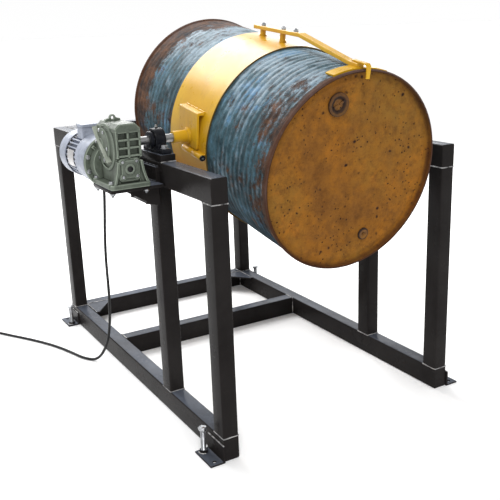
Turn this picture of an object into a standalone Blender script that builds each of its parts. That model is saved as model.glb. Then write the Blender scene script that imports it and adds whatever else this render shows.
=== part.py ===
"""Powered end-over-end drum tumbler: a steel drum clamped in a cradle that a worm gearmotor turns.

Machine axes: X runs along the tumbling shaft from the drive side to the idle side, Y runs from the
front to the back, and Z is up. Machine positions are measured from the drive side frame's outer,
front, bottom corner; the root empty then shifts them so that the origin lies on the floor, under
the middle of the object's box.
"""

import math

import bmesh
import bpy
from mathutils import Matrix, Vector

# ---- driving dimensions (metres) -------------------------------------------------------------
GAP = 0.0003                    # clearance between pieces that touch

FRAME_WIDTH = 0.860             # X, outer face to outer face
FRAME_LENGTH = 1.370            # Y
FRAME_HEIGHT = 0.830            # Z, top of the top rails
TUBE_WIDTH = 0.050              # X size of every frame tube
RAIL_DEPTH = 0.072              # Z size of the rails and beams
UPRIGHT_DEPTH = 0.060           # Y size of the uprights
TUBE_WALL = 0.004
TUBE_CORNER = 0.004             # outer corner radius of the tubes
MID_UPRIGHT_Y = 0.357
MID_BEAM_Y = 0.864              # front face of the middle base beam
GUSSET_LEG_X = 0.100
GUSSET_LEG_Y = 0.120
GUSSET_THICK = 0.006

FOOT_LENGTH = 0.100
FOOT_WIDTH = 0.048
FOOT_THICK = 0.005
FOOT_LEG = 0.052                # height of the leg welded up against the rail
FOOT_OVERHANG_FRONT = 0.006
FOOT_OVERHANG_REAR = 0.016
FOOT_BOLT_OUT = 0.027           # bolt centre, out from the rail's face
LEVEL_BOLT_RADIUS = 0.008
LEVEL_BOLT_HEAD = 0.0135
LEVEL_BOLT_TOP = 0.0875
WELD_NUT_HIGH = 0.013           # top of the nut welded round each levelling bolt

PIVOT_Y = MID_UPRIGHT_Y + UPRIGHT_DEPTH / 2
PAD_THICK = 0.0215              # welded pad under each pillow block
PAD_LENGTH = 0.150
BEARING_HEIGHT = 0.0365         # pillow block base to shaft centre
PIVOT_Z = FRAME_HEIGHT + PAD_THICK + BEARING_HEIGHT
BEARING_LENGTH = 0.140
BEARING_WIDTH = 0.038
BEARING_FOOT = 0.015
BEARING_RING = 0.0345
BEARING_RING_WIDTH = 0.034
BEARING_SEAT = 0.026
SHAFT_RADIUS = 0.0125

TILT = math.radians(9.5)        # the drum rests with its front end low
DRUM_DROP = 0.020               # drum axis below the tumbling axis
DRUM_HALF = 0.442
CHIME_RADIUS = 0.2925
CHIME_LENGTH = 0.012
SHELL_RADIUS = 0.2885
SHELL_WALL = 0.0015
HEAD_RECESS = 0.014
BUNG_CIRCLE = 0.212
BUNG_ANGLE = math.radians(19.0)
LARGE_BUNG_RADIUS = 0.0285
SMALL_BUNG_RADIUS = 0.0135

BAND_INNER = 0.2900
BAND_OUTER = 0.2940
BAND_FRONT = -0.105
BAND_BACK = 0.140
BAND_SPLIT = -0.0405            # height of the joint between the band halves
BAND_JOINT_GAP = 0.002

HUB_RADIUS = 0.019
HUB_LENGTH = 0.052
PLATE_THICK = 0.008
PLATE_HALF = 0.060
PLATE_TOP = 0.084
PLATE_BOTTOM = -0.0292

KNUCKLE_RADIUS = 0.0095
HINGE_X = 0.1255
PIN_RADIUS = 0.004
KNUCKLE_FRONT = -0.104
KNUCKLE_MIDDLE = -0.045
KNUCKLE_BACK = 0.016

BAR_WIDTH = 0.024
BAR_THICK = 0.012
HOOK_WIDTH = 0.014
HOOK_THICK = 0.005

GEAR_X = -0.1065                # middle plane of the worm wheel and axis of the motor
CENTRE_DISTANCE = 0.060
WORM_Z = PIVOT_Z - CENTRE_DISTANCE
GEAR_MODULE = 0.00225
WHEEL_TEETH = 40
WHEEL_RADIUS = GEAR_MODULE * WHEEL_TEETH / 2
WORM_RADIUS = CENTRE_DISTANCE - WHEEL_RADIUS
CASE_FRONT = 0.290
CASE_BACK = 0.440
CASE_BOTTOM = 0.787
CASE_TOP = 0.955
CASE_OUT = -0.1405
CASE_IN = -0.0665
BASE_THICK = 0.015

MOTOR_FLANGE_RADIUS = 0.080
MOTOR_RADIUS = 0.0735
BELL_FRONT = 0.4540
BODY_FRONT = 0.5553
COVER_FRONT = 0.6453
COVER_BACK = 0.7120

CORD_RADIUS = 0.005
COIL_CENTRE = (-0.415, 1.400)
COIL_RADIUS = 0.057             # middle of the turns
COIL_HALF_WIDTH = 0.0105
COIL_HEIGHT = 0.0205
PLUG_RADIUS = 0.0180

# ---- the box and the origin under its middle ------------------------------------------------------
HOOK_REACH = (-0.4565, 0.2898)  # foremost top corner of the chime hook, along the drum and up
X_LOW = GEAR_X - MOTOR_FLANGE_RADIUS
X_HIGH = FRAME_WIDTH + FOOT_WIDTH
Y_LOW = PIVOT_Y + HOOK_REACH[0] * math.cos(TILT) - HOOK_REACH[1] * math.sin(TILT)
Y_HIGH = FRAME_LENGTH + FOOT_OVERHANG_REAR
ORIGIN = Vector(((X_LOW + X_HIGH) / 2, (Y_LOW + Y_HIGH) / 2, 0.0))

TO_X = Matrix.Rotation(math.pi / 2, 4, "Y")      # turns a local Z axis to +X
TO_Y = Matrix.Rotation(-math.pi / 2, 4, "X")     # turns a local Z axis to +Y

COLOURS = {
    "frame_black": ((0.022, 0.022, 0.026), 0.38, 0.30),
    "band_yellow": ((0.72, 0.42, 0.045), 0.42, 0.10),
    "bright_steel": ((0.62, 0.62, 0.63), 0.30, 0.95),
    "gearbox_green": ((0.30, 0.34, 0.30), 0.48, 0.25),
    "motor_grey": ((0.42, 0.42, 0.47), 0.42, 0.30),
    "bearing_black": ((0.035, 0.037, 0.045), 0.45, 0.35),
    "drum_blue": ((0.16, 0.26, 0.33), 0.55, 0.35),
    "drum_rust": ((0.27, 0.13, 0.045), 0.68, 0.20),
    "plug_cream": ((0.72, 0.70, 0.62), 0.40, 0.0),
    "bronze": ((0.45, 0.30, 0.12), 0.35, 0.9),
    "lamination": ((0.20, 0.20, 0.21), 0.5, 0.8),
    "black_plastic": ((0.015, 0.015, 0.017), 0.5, 0.0),
    "cable_black": ((0.012, 0.012, 0.014), 0.45, 0.0),
}


# ---- scene, materials and objects -----------------------------------------------------------------
def clear_scene():
    for item in list(bpy.data.objects):
        bpy.data.objects.remove(item, do_unlink=True)


def new_collection(name):
    made = bpy.data.collections.new(name)
    bpy.context.scene.collection.children.link(made)
    return made


def new_empty(name, location, parent=None, tilt=0.0):
    empty = bpy.data.objects.new(name, None)
    empty.location = location
    empty.rotation_euler = (tilt, 0.0, 0.0)
    empty.parent = parent
    PARTS.objects.link(empty)
    return empty


def new_material(node, finish):
    colour, roughness, metallic = COLOURS[finish]
    material = bpy.data.materials.new(node)
    material.use_nodes = True
    shader = material.node_tree.nodes["Principled BSDF"]
    shader.inputs["Base Color"].default_value = (*colour, 1.0)
    shader.inputs["Roughness"].default_value = roughness
    shader.inputs["Metallic"].default_value = metallic
    return material


def place(node, mesh, finish, parent, location=(0, 0, 0), smooth=False):
    """Makes the named object of a mesh, with its own material, under an empty."""
    mesh.name = node
    item = bpy.data.objects.new(node, mesh)
    item.parent = parent
    item.location = location
    mesh.materials.append(new_material(node, finish))
    PARTS.objects.link(item)
    if smooth:
        mesh.shade_smooth()
        mesh.set_sharp_from_angle(angle=math.radians(35))
    return item


def to_mesh(shape):
    bmesh.ops.recalc_face_normals(shape, faces=shape.faces)
    mesh = bpy.data.meshes.new("shape")
    shape.to_mesh(mesh)
    shape.free()
    return mesh


# ---- shapes ---------------------------------------------------------------------------------------
def box_mesh(low, high, bevel=0.0, segments=2):
    low, high = Vector(low), Vector(high)
    shape = bmesh.new()
    bmesh.ops.create_cube(shape, size=1.0)
    bmesh.ops.scale(shape, vec=high - low, verts=shape.verts)
    bmesh.ops.translate(shape, vec=(low + high) / 2, verts=shape.verts)
    if bevel:
        bmesh.ops.bevel(shape, geom=list(shape.edges), offset=bevel, segments=segments,
                        affect="EDGES", profile=0.5)
    return to_mesh(shape)


def cylinder_mesh(radius, low, high, turn=TO_X, centre=(0, 0, 0), sides=32, top_radius=None):
    """A cylinder or cone along the turned Z axis, from low to high, beside centre."""
    shape = bmesh.new()
    bmesh.ops.create_cone(shape, cap_ends=True, segments=sides, radius1=radius,
                          radius2=radius if top_radius is None else top_radius, depth=high - low)
    bmesh.ops.translate(shape, vec=(0, 0, (low + high) / 2), verts=shape.verts)
    bmesh.ops.transform(shape, matrix=turn, verts=shape.verts)
    bmesh.ops.translate(shape, vec=centre, verts=shape.verts)
    return to_mesh(shape)


def prism_mesh(outline, low, high, turn=None):
    """A flat outline drawn in XY, pushed along Z from low to high, then turned."""
    shape = bmesh.new()
    corners = [shape.verts.new((x, y, low)) for x, y in outline]
    face = shape.faces.new(corners)
    pushed = bmesh.ops.extrude_face_region(shape, geom=[face])["geom"]
    moved = [item for item in pushed if isinstance(item, bmesh.types.BMVert)]
    bmesh.ops.translate(shape, vec=(0, 0, high - low), verts=moved)
    if turn is not None:
        bmesh.ops.transform(shape, matrix=turn, verts=shape.verts)
    return to_mesh(shape)


def arc(radius, start, end, steps, centre=(0.0, 0.0)):
    """Points on an arc; the angles are in degrees from +X towards +Y."""
    angles = [math.radians(start + (end - start) * i / steps) for i in range(steps + 1)]
    return [(centre[0] + radius * math.cos(a), centre[1] + radius * math.sin(a)) for a in angles]


def turned(node, profile, finish, parent, location=(0, 0, 0), turn=TO_Y, steps=32):
    """Revolves (radius, height) points about Z with a Screw modifier, then aims Z along turn.

    The profile runs down its outer side from the top; it closes on itself unless it ends on the axis.
    """
    shape = bmesh.new()
    points = [shape.verts.new((radius, 0.0, height)) for radius, height in profile]
    closed = profile[0][0] > 0.0 or profile[-1][0] > 0.0
    count = len(points) if closed else len(points) - 1
    for i in range(count):
        shape.edges.new((points[i], points[(i + 1) % len(points)]))
    mesh = bpy.data.meshes.new("profile")
    shape.to_mesh(mesh)
    shape.free()
    item = place(node, mesh, finish, parent, location)
    item.rotation_euler = turn.to_euler()
    screw = item.modifiers.new("turn", "SCREW")
    screw.steps = screw.render_steps = steps
    screw.use_merge_vertices = True
    screw.merge_threshold = 1e-5
    screw.use_smooth_shade = True
    return item


def add_cutter(name, mesh, parent):
    mesh.name = name
    item = bpy.data.objects.new(name, mesh)
    item.parent = parent
    item.hide_render = True
    item.display_type = "WIRE"
    CUTTERS.objects.link(item)
    return item


def combine(item, operation, meshes, parent):
    """Joins (UNION) or cuts (DIFFERENCE) an object with helper shapes."""
    for i, mesh in enumerate(meshes):
        helper = add_cutter(f"{item.name}_{operation.lower()}_{len(item.modifiers)}_{i}", mesh, parent)
        step = item.modifiers.new(operation.lower(), "BOOLEAN")
        step.operation = operation
        step.object = helper
    return item


# ---- frame ----------------------------------------------------------------------------------------
def tube(node, low, high, axis, closed_start=False):
    """A rectangular steel tube along an axis (0, 1 or 2), open at its ends or closed at its start."""
    low, high = Vector(low), Vector(high)
    shape = bmesh.new()
    bmesh.ops.create_cube(shape, size=1.0)
    bmesh.ops.scale(shape, vec=high - low, verts=shape.verts)
    bmesh.ops.translate(shape, vec=(low + high) / 2, verts=shape.verts)
    along = [e for e in shape.edges
             if abs((e.verts[0].co - e.verts[1].co)[axis]) > 0.9 * (high - low)[axis]]
    bmesh.ops.bevel(shape, geom=along, offset=TUBE_CORNER, segments=2, affect="EDGES", profile=0.5)
    bmesh.ops.recalc_face_normals(shape, faces=shape.faces)
    ends = [f for f in shape.faces if abs(f.normal[axis]) > 0.9]
    if closed_start:
        ends = [f for f in ends if f.normal[axis] > 0]
    bmesh.ops.delete(shape, geom=ends, context="FACES_ONLY")
    mesh = bpy.data.meshes.new(node)
    shape.to_mesh(mesh)
    shape.free()
    item = place(node, mesh, "frame_black", ROOT)
    wall = item.modifiers.new("wall", "SOLIDIFY")
    wall.thickness = TUBE_WALL
    wall.offset = -1.0
    wall.use_even_offset = True
    return item


def side_frame(side, x_low):
    x_high = x_low + TUBE_WIDTH
    tube(f"{side}_bottom_rail", (x_low, 0, 0), (x_high, FRAME_LENGTH, RAIL_DEPTH), 1, True)
    top = tube(f"{side}_top_rail", (x_low, 0, FRAME_HEIGHT - RAIL_DEPTH),
               (x_high, FRAME_LENGTH, FRAME_HEIGHT), 1, True)
    pad = box_mesh((x_low + 0.001, PIVOT_Y - PAD_LENGTH / 2, FRAME_HEIGHT - 0.001),
                   (x_high - 0.001, PIVOT_Y + PAD_LENGTH / 2, FRAME_HEIGHT + PAD_THICK - GAP))
    combine(top, "UNION", [pad], ROOT)
    places = {"front": 0.0, "middle": MID_UPRIGHT_Y, "rear": FRAME_LENGTH - UPRIGHT_DEPTH}
    for name, y in places.items():
        tube(f"{side}_{name}_upright", (x_low, y, RAIL_DEPTH + GAP),
             (x_high, y + UPRIGHT_DEPTH, FRAME_HEIGHT - RAIL_DEPTH - GAP), 2)


def cross_beam(node, y_low, z_low, gussets=False):
    """A beam between the side frames; the rear beams carry a flush gusset plate at each corner."""
    x_low, x_high = TUBE_WIDTH + GAP, FRAME_WIDTH - TUBE_WIDTH - GAP
    z_high = z_low + RAIL_DEPTH
    beam = tube(node, (x_low, y_low, z_low), (x_high, y_low + TUBE_WIDTH, z_high), 0)
    if gussets:
        overlap = y_low + 0.006
        plates = []
        for corner, along in ((x_low, 1), (x_high, -1)):
            outline = [(corner, overlap), (corner, y_low - GUSSET_LEG_Y),
                       (corner + along * 0.012, y_low - GUSSET_LEG_Y),
                       (corner + along * GUSSET_LEG_X, y_low - 0.012),
                       (corner + along * GUSSET_LEG_X, overlap)]
            plates.append(prism_mesh(outline, z_high - GUSSET_THICK - 0.0005, z_high - 0.0005))
        combine(beam, "UNION", plates, ROOT)


def foot(name, side, y_low, bolt_y, hole_y):
    """An angle-iron foot beside a bottom rail, with a levelling bolt standing in its welded nut."""
    if side < 0:
        x_low, x_high, bolt_x = -FOOT_WIDTH, -GAP, -FOOT_BOLT_OUT
        leg_low, leg_high = x_high - FOOT_THICK, x_high
    else:
        x_low, x_high = FRAME_WIDTH + GAP, FRAME_WIDTH + FOOT_WIDTH
        bolt_x = FRAME_WIDTH + FOOT_BOLT_OUT
        leg_low, leg_high = x_low, x_low + FOOT_THICK
    plate = place(f"{name}_foot_plate",
                  box_mesh((x_low, y_low, 0), (x_high, y_low + FOOT_LENGTH, FOOT_THICK)),
                  "frame_black", ROOT)
    leg = box_mesh((leg_low, y_low, 0.001), (leg_high, y_low + FOOT_LENGTH, FOOT_LEG))
    nut = cylinder_mesh(LEVEL_BOLT_HEAD, 0.003, WELD_NUT_HIGH, Matrix.Identity(4), (bolt_x, bolt_y, 0), 6)
    combine(plate, "UNION", [leg, nut], ROOT)
    holes = [cylinder_mesh(LEVEL_BOLT_RADIUS + 0.0006, -0.01, 0.02, Matrix.Identity(4), (bolt_x, bolt_y, 0), 24),
             cylinder_mesh(0.006, -0.01, 0.02, Matrix.Identity(4), (bolt_x, hole_y, 0), 24)]
    combine(plate, "DIFFERENCE", holes, ROOT)
    shank = cylinder_mesh(LEVEL_BOLT_RADIUS, 0.0006, LEVEL_BOLT_TOP - 0.009, Matrix.Identity(4), sides=24)
    bolt = place(f"{name}_level_bolt", shank, "bright_steel", ROOT, (bolt_x, bolt_y, 0), True)
    holder = new_empty(f"{name}_bolt_axis", (bolt_x, bolt_y, 0), ROOT)
    head = cylinder_mesh(LEVEL_BOLT_HEAD, LEVEL_BOLT_TOP - 0.010, LEVEL_BOLT_TOP, Matrix.Identity(4), sides=6)
    combine(bolt, "UNION", [head], holder)


def frame():
    side_frame("left", 0.0)
    side_frame("right", FRAME_WIDTH - TUBE_WIDTH)
    rear = FRAME_LENGTH - TUBE_WIDTH
    cross_beam("base_rear_beam", rear, 0.0, gussets=True)
    cross_beam("base_middle_beam", MID_BEAM_Y, 0.0)
    cross_beam("top_rear_beam", rear, FRAME_HEIGHT - RAIL_DEPTH, gussets=True)
    front_low = -FOOT_OVERHANG_FRONT
    rear_low = FRAME_LENGTH + FOOT_OVERHANG_REAR - FOOT_LENGTH
    for word, side in (("left", -1), ("right", 1)):
        foot(f"{word}_front", side, front_low, front_low + 0.084, front_low + 0.017)
        foot(f"{word}_rear", side, rear_low, rear_low + 0.019, rear_low + 0.083)


# ---- bearings -------------------------------------------------------------------------------------
def pillow_block(side, x_mid):
    """A cast pillow block: feet, shoulders and a ring, bored for the bearing insert."""
    half = BEARING_LENGTH / 2
    rise = BEARING_HEIGHT
    top = arc(BEARING_RING, -20, 200, 22, (0.0, rise))
    outline = [(-half, 0.0), (half, 0.0), (half, BEARING_FOOT - 0.003), (half - 0.003, BEARING_FOOT),
               (half - 0.030, BEARING_FOOT), *top, (-half + 0.030, BEARING_FOOT),
               (-half + 0.003, BEARING_FOOT), (-half, BEARING_FOOT - 0.003)]
    turn = Matrix(((0, 0, 1, 0), (1, 0, 0, 0), (0, 1, 0, 0), (0, 0, 0, 1)))
    base_z = FRAME_HEIGHT + PAD_THICK
    width = BEARING_RING_WIDTH / 2
    block = place(f"{side}_bearing_housing", prism_mesh(outline, -width, width, turn),
                  "bearing_black", BEARING_AXES[side], (0, 0, -rise))
    bore = cylinder_mesh(BEARING_SEAT, -0.04, 0.04)
    bolt_holes = [cylinder_mesh(0.0065, -0.06, 0.0, Matrix.Identity(4), (0, y, 0), 20)
                  for y in (-0.0525, 0.0525)]
    combine(block, "DIFFERENCE", [bore, *bolt_holes], BEARING_AXES[side])
    inner, outer, half_ring = SHAFT_RADIUS + GAP, BEARING_SEAT - GAP, 0.017
    turned(f"{side}_bearing_insert",
           [(inner + 0.006, half_ring), (inner + 0.006, 0.008), (outer, 0.008), (outer, -0.008),
            (inner + 0.006, -0.008), (inner + 0.006, -half_ring), (inner, -half_ring), (inner, half_ring)],
           "bright_steel", BEARING_AXES[side], turn=TO_X, steps=28)


# ---- gearbox --------------------------------------------------------------------------------------
def gearbox_bracket():
    plate = place("gearbox_bracket", box_mesh((-0.010, 0.330, 0.697), (-GAP, 0.560, 0.815)),
                  "frame_black", ROOT)
    shelf_top = CASE_BOTTOM - BASE_THICK - GAP
    shelf = box_mesh((-0.166, 0.290, shelf_top - 0.010), (-0.005, CASE_BACK - GAP, shelf_top))
    web = box_mesh((-0.050, 0.318, 0.713), (-0.042, 0.436, shelf_top - 0.005))
    ties = [box_mesh((-0.046, y, 0.713), (-0.005, y + 0.008, shelf_top - 0.005)) for y in (0.335, 0.422)]
    combine(plate, "UNION", [shelf, web, *ties], ROOT)


def gearbox_housing():
    """Worm gear casing: tapered box on a foot flange, chambered for the wheel and the worm."""
    outline = [(CASE_OUT, CASE_BOTTOM - 0.002), (CASE_IN, CASE_BOTTOM - 0.002), (CASE_IN, 0.850),
               (-0.0800, CASE_TOP - 0.010), (-0.0860, CASE_TOP), (CASE_OUT + 0.012, CASE_TOP),
               (CASE_OUT, CASE_TOP - 0.012)]
    turn = Matrix(((1, 0, 0, 0), (0, 0, 1, 0), (0, 1, 0, 0), (0, 0, 0, 1)))
    case = place("gearbox_housing", prism_mesh(outline, CASE_FRONT, CASE_BACK, turn), "gearbox_green", ROOT)
    base = box_mesh((-0.166, 0.283, CASE_BOTTOM - BASE_THICK), (-0.045, CASE_BACK - GAP, CASE_BOTTOM))
    boss = cylinder_mesh(0.034, -0.100, -0.0620, centre=(0, PIVOT_Y, PIVOT_Z))
    lug = prism_mesh([(-0.128, CASE_TOP - 0.002), (-0.090, CASE_TOP - 0.002), (-0.103, 0.974), (-0.115, 0.974)],
                     PIVOT_Y - 0.005, PIVOT_Y + 0.005, turn)
    combine(case, "UNION", [base, boss, lug], ROOT)
    wheel_room = cylinder_mesh(0.0495, CASE_OUT - 0.02, -0.080, centre=(0, PIVOT_Y, PIVOT_Z), sides=48)
    worm_room = cylinder_mesh(0.0225, CASE_FRONT - 0.02, CASE_BACK + 0.02, TO_Y, (GEAR_X, 0, WORM_Z))
    shaft_room = cylinder_mesh(SHAFT_RADIUS + 0.002, -0.10, -0.05, centre=(0, PIVOT_Y, PIVOT_Z))
    eye = cylinder_mesh(0.0038, 0.30, 0.40, TO_Y, (-0.109, 0, 0.965), 16)
    holes = [cylinder_mesh(0.0055, 0.76, 0.80, Matrix.Identity(4), (x, y, 0), 16)
             for x in (-0.158, -0.053) for y in (0.303, 0.427)]
    combine(case, "DIFFERENCE", [wheel_room, worm_room, shaft_room, eye, *holes], ROOT)


def gearbox_covers():
    turned("gearbox_wheel_cover",
           [(0.0, 0.010), (0.022, 0.010), (0.026, 0.007), (0.049, 0.007), (0.0525, 0.004), (0.0525, GAP),
            (0.0488, GAP), (0.0488, -0.004), (0.0, -0.004)],
           "gearbox_green", ROOT, (CASE_OUT, PIVOT_Y, PIVOT_Z), TO_X.inverted())
    inner = SHAFT_RADIUS + 0.0008
    turned("gearbox_shaft_cover",
           [(0.022, 0.007), (0.031, 0.005), (0.031, 0.0003), (inner, 0.0003), (inner, 0.007)],
           "gearbox_green", ROOT, (-0.0620, PIVOT_Y, PIVOT_Z), TO_X, 28)
    turned("worm_end_cover",
           [(0.0, 0.002), (0.010, 0.002), (0.010, 0.009), (0.015, 0.009), (0.016, 0.006), (0.031, 0.006),
            (0.031, 0.0), (0.0, 0.0)],
           "gearbox_green", ROOT, (GEAR_X, CASE_FRONT - GAP, WORM_Z), TO_Y.inverted(), 28)
    turned("oil_plug",
           [(0.0, 0.021), (0.007, 0.021), (0.010, 0.016), (0.010, 0.006), (0.006, 0.005), (0.006, 0.0), (0.0, 0.0)],
           "plug_cream", ROOT, (-0.0768, 0.335, 0.934), TO_X, 24)


def gear_tooth(phase, addendum, dedendum):
    """Height of a truncated tooth above the pitch line; phase counts teeth, and 0 is a tooth's middle."""
    distance = abs((phase + 0.5) % 1.0 - 0.5)
    flat, foot_start = 0.11, 0.29
    share = min(max((distance - flat) / (foot_start - flat), 0.0), 1.0)
    return addendum - share * (addendum + dedendum)


def ring_grid(rows, sides, point):
    """A closed tube of rows x sides points, where point(row, side) gives each one."""
    shape = bmesh.new()
    grid = [[shape.verts.new(point(r, s)) for s in range(sides)] for r in range(rows)]
    for r in range(rows):
        for s in range(sides):
            upper, after = (r + 1) % rows, (s + 1) % sides
            shape.faces.new((grid[r][s], grid[r][after], grid[upper][after], grid[upper][s]))
    return to_mesh(shape)


def worm_wheel():
    """Bronze wheel with helical teeth that match the worm's lead, bored for the drive shaft."""
    lead_angle = math.atan(GEAR_MODULE / (2 * WORM_RADIUS))
    half, corners = 0.011, (-0.29, -0.11, 0.11, 0.29)
    sides = WHEEL_TEETH * len(corners)
    addendum, dedendum = 0.80 * GEAR_MODULE, 1.20 * GEAR_MODULE
    bore = SHAFT_RADIUS + GAP
    levels = [(-half, 0), (0.0, 0), (half, 0), (half, 1), (-half, 1)]

    def point(row, side):
        x, inside = levels[row]
        phase = side // len(corners) + corners[side % len(corners)]
        angle = 2 * math.pi * phase / WHEEL_TEETH
        if inside:
            return (x, bore * math.cos(angle), bore * math.sin(angle))
        turn = x * math.tan(lead_angle) / WHEEL_RADIUS
        radius = WHEEL_RADIUS + gear_tooth(phase, addendum, dedendum)
        throat = 0.0 if row == 1 else 0.0008
        angle += turn
        return (x, (radius - throat) * math.cos(angle), (radius - throat) * math.sin(angle))

    mesh = ring_grid(len(levels), sides, point)
    place("worm_wheel", mesh, "bronze", PIVOT, (GEAR_X, 0, 0))


def worm_shaft():
    """Worm on its shaft: the radius follows a single-start helical thread in the middle stretch."""
    lead = math.pi * GEAR_MODULE
    half, sides, per_turn = 0.022, 18, 8
    addendum, dedendum = 0.80 * GEAR_MODULE, 1.20 * GEAR_MODULE
    rows = int(2 * half / lead * per_turn)
    front, back = CASE_FRONT + 0.012 - PIVOT_Y, BELL_FRONT + 0.016 - PIVOT_Y
    neck = 0.0095
    levels = [(front, neck, False), (-half - 0.001, neck, False)]
    levels += [(-half + 2 * half * i / rows, WORM_RADIUS, True) for i in range(rows + 1)]
    levels += [(half + 0.001, neck, False), (back, neck, False)]
    shape = bmesh.new()
    rings = []
    for y, radius, threaded in levels:
        ring = []
        for s in range(sides):
            angle = 2 * math.pi * s / sides
            grow = 0.0
            if threaded:
                phase = y / lead + s / sides + 0.25
                grow = gear_tooth(phase, addendum, dedendum)
            ring.append(shape.verts.new(((radius + grow) * math.cos(angle), y, (radius + grow) * math.sin(angle))))
        rings.append(ring)
    for lower, upper in zip(rings, rings[1:]):
        for s in range(sides):
            after = (s + 1) % sides
            shape.faces.new((lower[s], lower[after], upper[after], upper[s]))
    shape.faces.new(rings[0])
    shape.faces.new(rings[-1])
    place("worm_shaft", to_mesh(shape), "bright_steel", WORM_AXIS)


# ---- motor ----------------------------------------------------------------------------------------
def motor():
    """Foot-less flange motor on the worm's axis; heights in these profiles are machine Y."""
    at = (GEAR_X, 0, WORM_Z)
    back = CASE_BACK + GAP
    turned("motor_flange",
           [(0.012, BELL_FRONT - GAP), (0.078, BELL_FRONT - GAP), (0.080, BELL_FRONT - 0.002),
            (0.080, back), (0.012, back)],
           "gearbox_green", ROOT, at)
    turned("motor_end_bell",
           [(MOTOR_RADIUS, BODY_FRONT - GAP), (MOTOR_RADIUS, 0.470), (0.066, BELL_FRONT), (0.012, BELL_FRONT),
            (0.012, BELL_FRONT + 0.008), (0.060, BELL_FRONT + 0.010), (0.0675, BODY_FRONT - GAP)],
           "motor_grey", ROOT, at)
    wall_back = COVER_FRONT - GAP
    turned("motor_body",
           [(0.0700, wall_back), (0.0700, BODY_FRONT), (0.0585, BODY_FRONT), (0.0585, wall_back - 0.007),
            (0.0085, wall_back - 0.007), (0.0085, wall_back)],
           "motor_grey", ROOT, at)
    turned("motor_stator",
           [(0.0580, 0.632), (0.0580, 0.560), (0.0365, 0.560), (0.0365, 0.632)],
           "lamination", ROOT, at, steps=36)
    turned("motor_rotor",
           [(0.0, 0.700), (0.007, 0.700), (0.007, 0.630), (0.0355, 0.628), (0.0355, 0.564), (0.007, 0.562),
            (0.007, BELL_FRONT + 0.0163), (0.0, BELL_FRONT + 0.0163)],
           "lamination", WORM_AXIS, (0, -PIVOT_Y, 0), steps=32)
    cooling_fan()
    turned("fan_cover",
           [(0.0, COVER_BACK), (0.066, COVER_BACK), (MOTOR_RADIUS, COVER_BACK - 0.008),
            (MOTOR_RADIUS, COVER_FRONT), (MOTOR_RADIUS - 0.0015, COVER_FRONT),
            (MOTOR_RADIUS - 0.0015, COVER_BACK - 0.009), (0.0652, COVER_BACK - 0.0018),
            (0.0, COVER_BACK - 0.0018)],
           "motor_grey", ROOT, at)
    terminal_box()


def cooling_fan():
    """Hub, disc and straight blades on the rear end of the rotor shaft."""
    turned("cooling_fan",
           [(0.012, 0.686), (0.012, 0.664), (0.052, 0.662), (0.052, 0.660), (0.0073, 0.660), (0.0073, 0.686)],
           "black_plastic", WORM_AXIS, (0, -PIVOT_Y, 0), steps=32)
    fan = bpy.data.objects["cooling_fan"]
    blades = []
    for i in range(7):
        blade = box_mesh((0.010, 0.661 - PIVOT_Y, -0.001), (0.050, 0.680 - PIVOT_Y, 0.001))
        blade.transform(Matrix.Rotation(2 * math.pi * i / 7, 4, "Y"))
        blades.append(blade)
    combine(fan, "UNION", blades, WORM_AXIS)


def terminal_box():
    seat = cylinder_mesh(MOTOR_RADIUS + GAP, 0.52, 0.64, TO_Y, (GEAR_X, 0, WORM_Z), 64)
    body = place("terminal_box", box_mesh((-0.148, 0.550, 0.884), (-0.065, 0.603, 0.9225), 0.003),
                 "motor_grey", ROOT)
    combine(body, "DIFFERENCE", [seat], ROOT)
    place("terminal_box_lid", box_mesh((-0.150, 0.548, 0.9228), (-0.063, 0.605, 0.9315), 0.003),
          "motor_grey", ROOT)
    turned("cable_gland",
           [(0.0, 0.0185), (0.0075, 0.0185), (0.0095, 0.015), (0.0095, 0.006), (0.0105, 0.006),
            (0.0105, 0.0), (0.0, 0.0)],
           "black_plastic", ROOT, (CORD_EXIT[0], 0.6033, CORD_EXIT[2]), steps=24)


# ---- cradle ---------------------------------------------------------------------------------------
def band_mesh(start, end, low=None, high=None, inner=BAND_INNER, outer=BAND_OUTER, steps=30):
    """An arc strap round the drum; the angles are in degrees in the drum's end view."""
    outline = arc(outer, start, end, steps) + arc(inner, end, start, steps)
    turn = Matrix(((1, 0, 0, 0), (0, 0, 1, 0), (0, 1, 0, 0), (0, 0, 0, 1)))
    mesh = prism_mesh(outline, BAND_FRONT if low is None else low, BAND_BACK if high is None else high, turn)
    mesh.transform(Matrix.Translation((FRAME_WIDTH / 2, 0, -DRUM_DROP)))
    return mesh


def knuckle(low, high, leaf_low, leaf_high):
    """A hinge barrel and the leaf that joins it to the band."""
    barrel = cylinder_mesh(KNUCKLE_RADIUS, low, high, TO_Y, (HINGE_X, 0, BAND_SPLIT), 24)
    leaf = box_mesh((HINGE_X, low, leaf_low), (HINGE_X + 0.0135, high, leaf_high))
    return [barrel, leaf]


def clamp_lug(z_low, z_high):
    edge = FRAME_WIDTH / 2 + BAND_INNER + 0.001
    return box_mesh((edge, -0.045, z_low), (edge + 0.028, 0.075, z_high))


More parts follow.
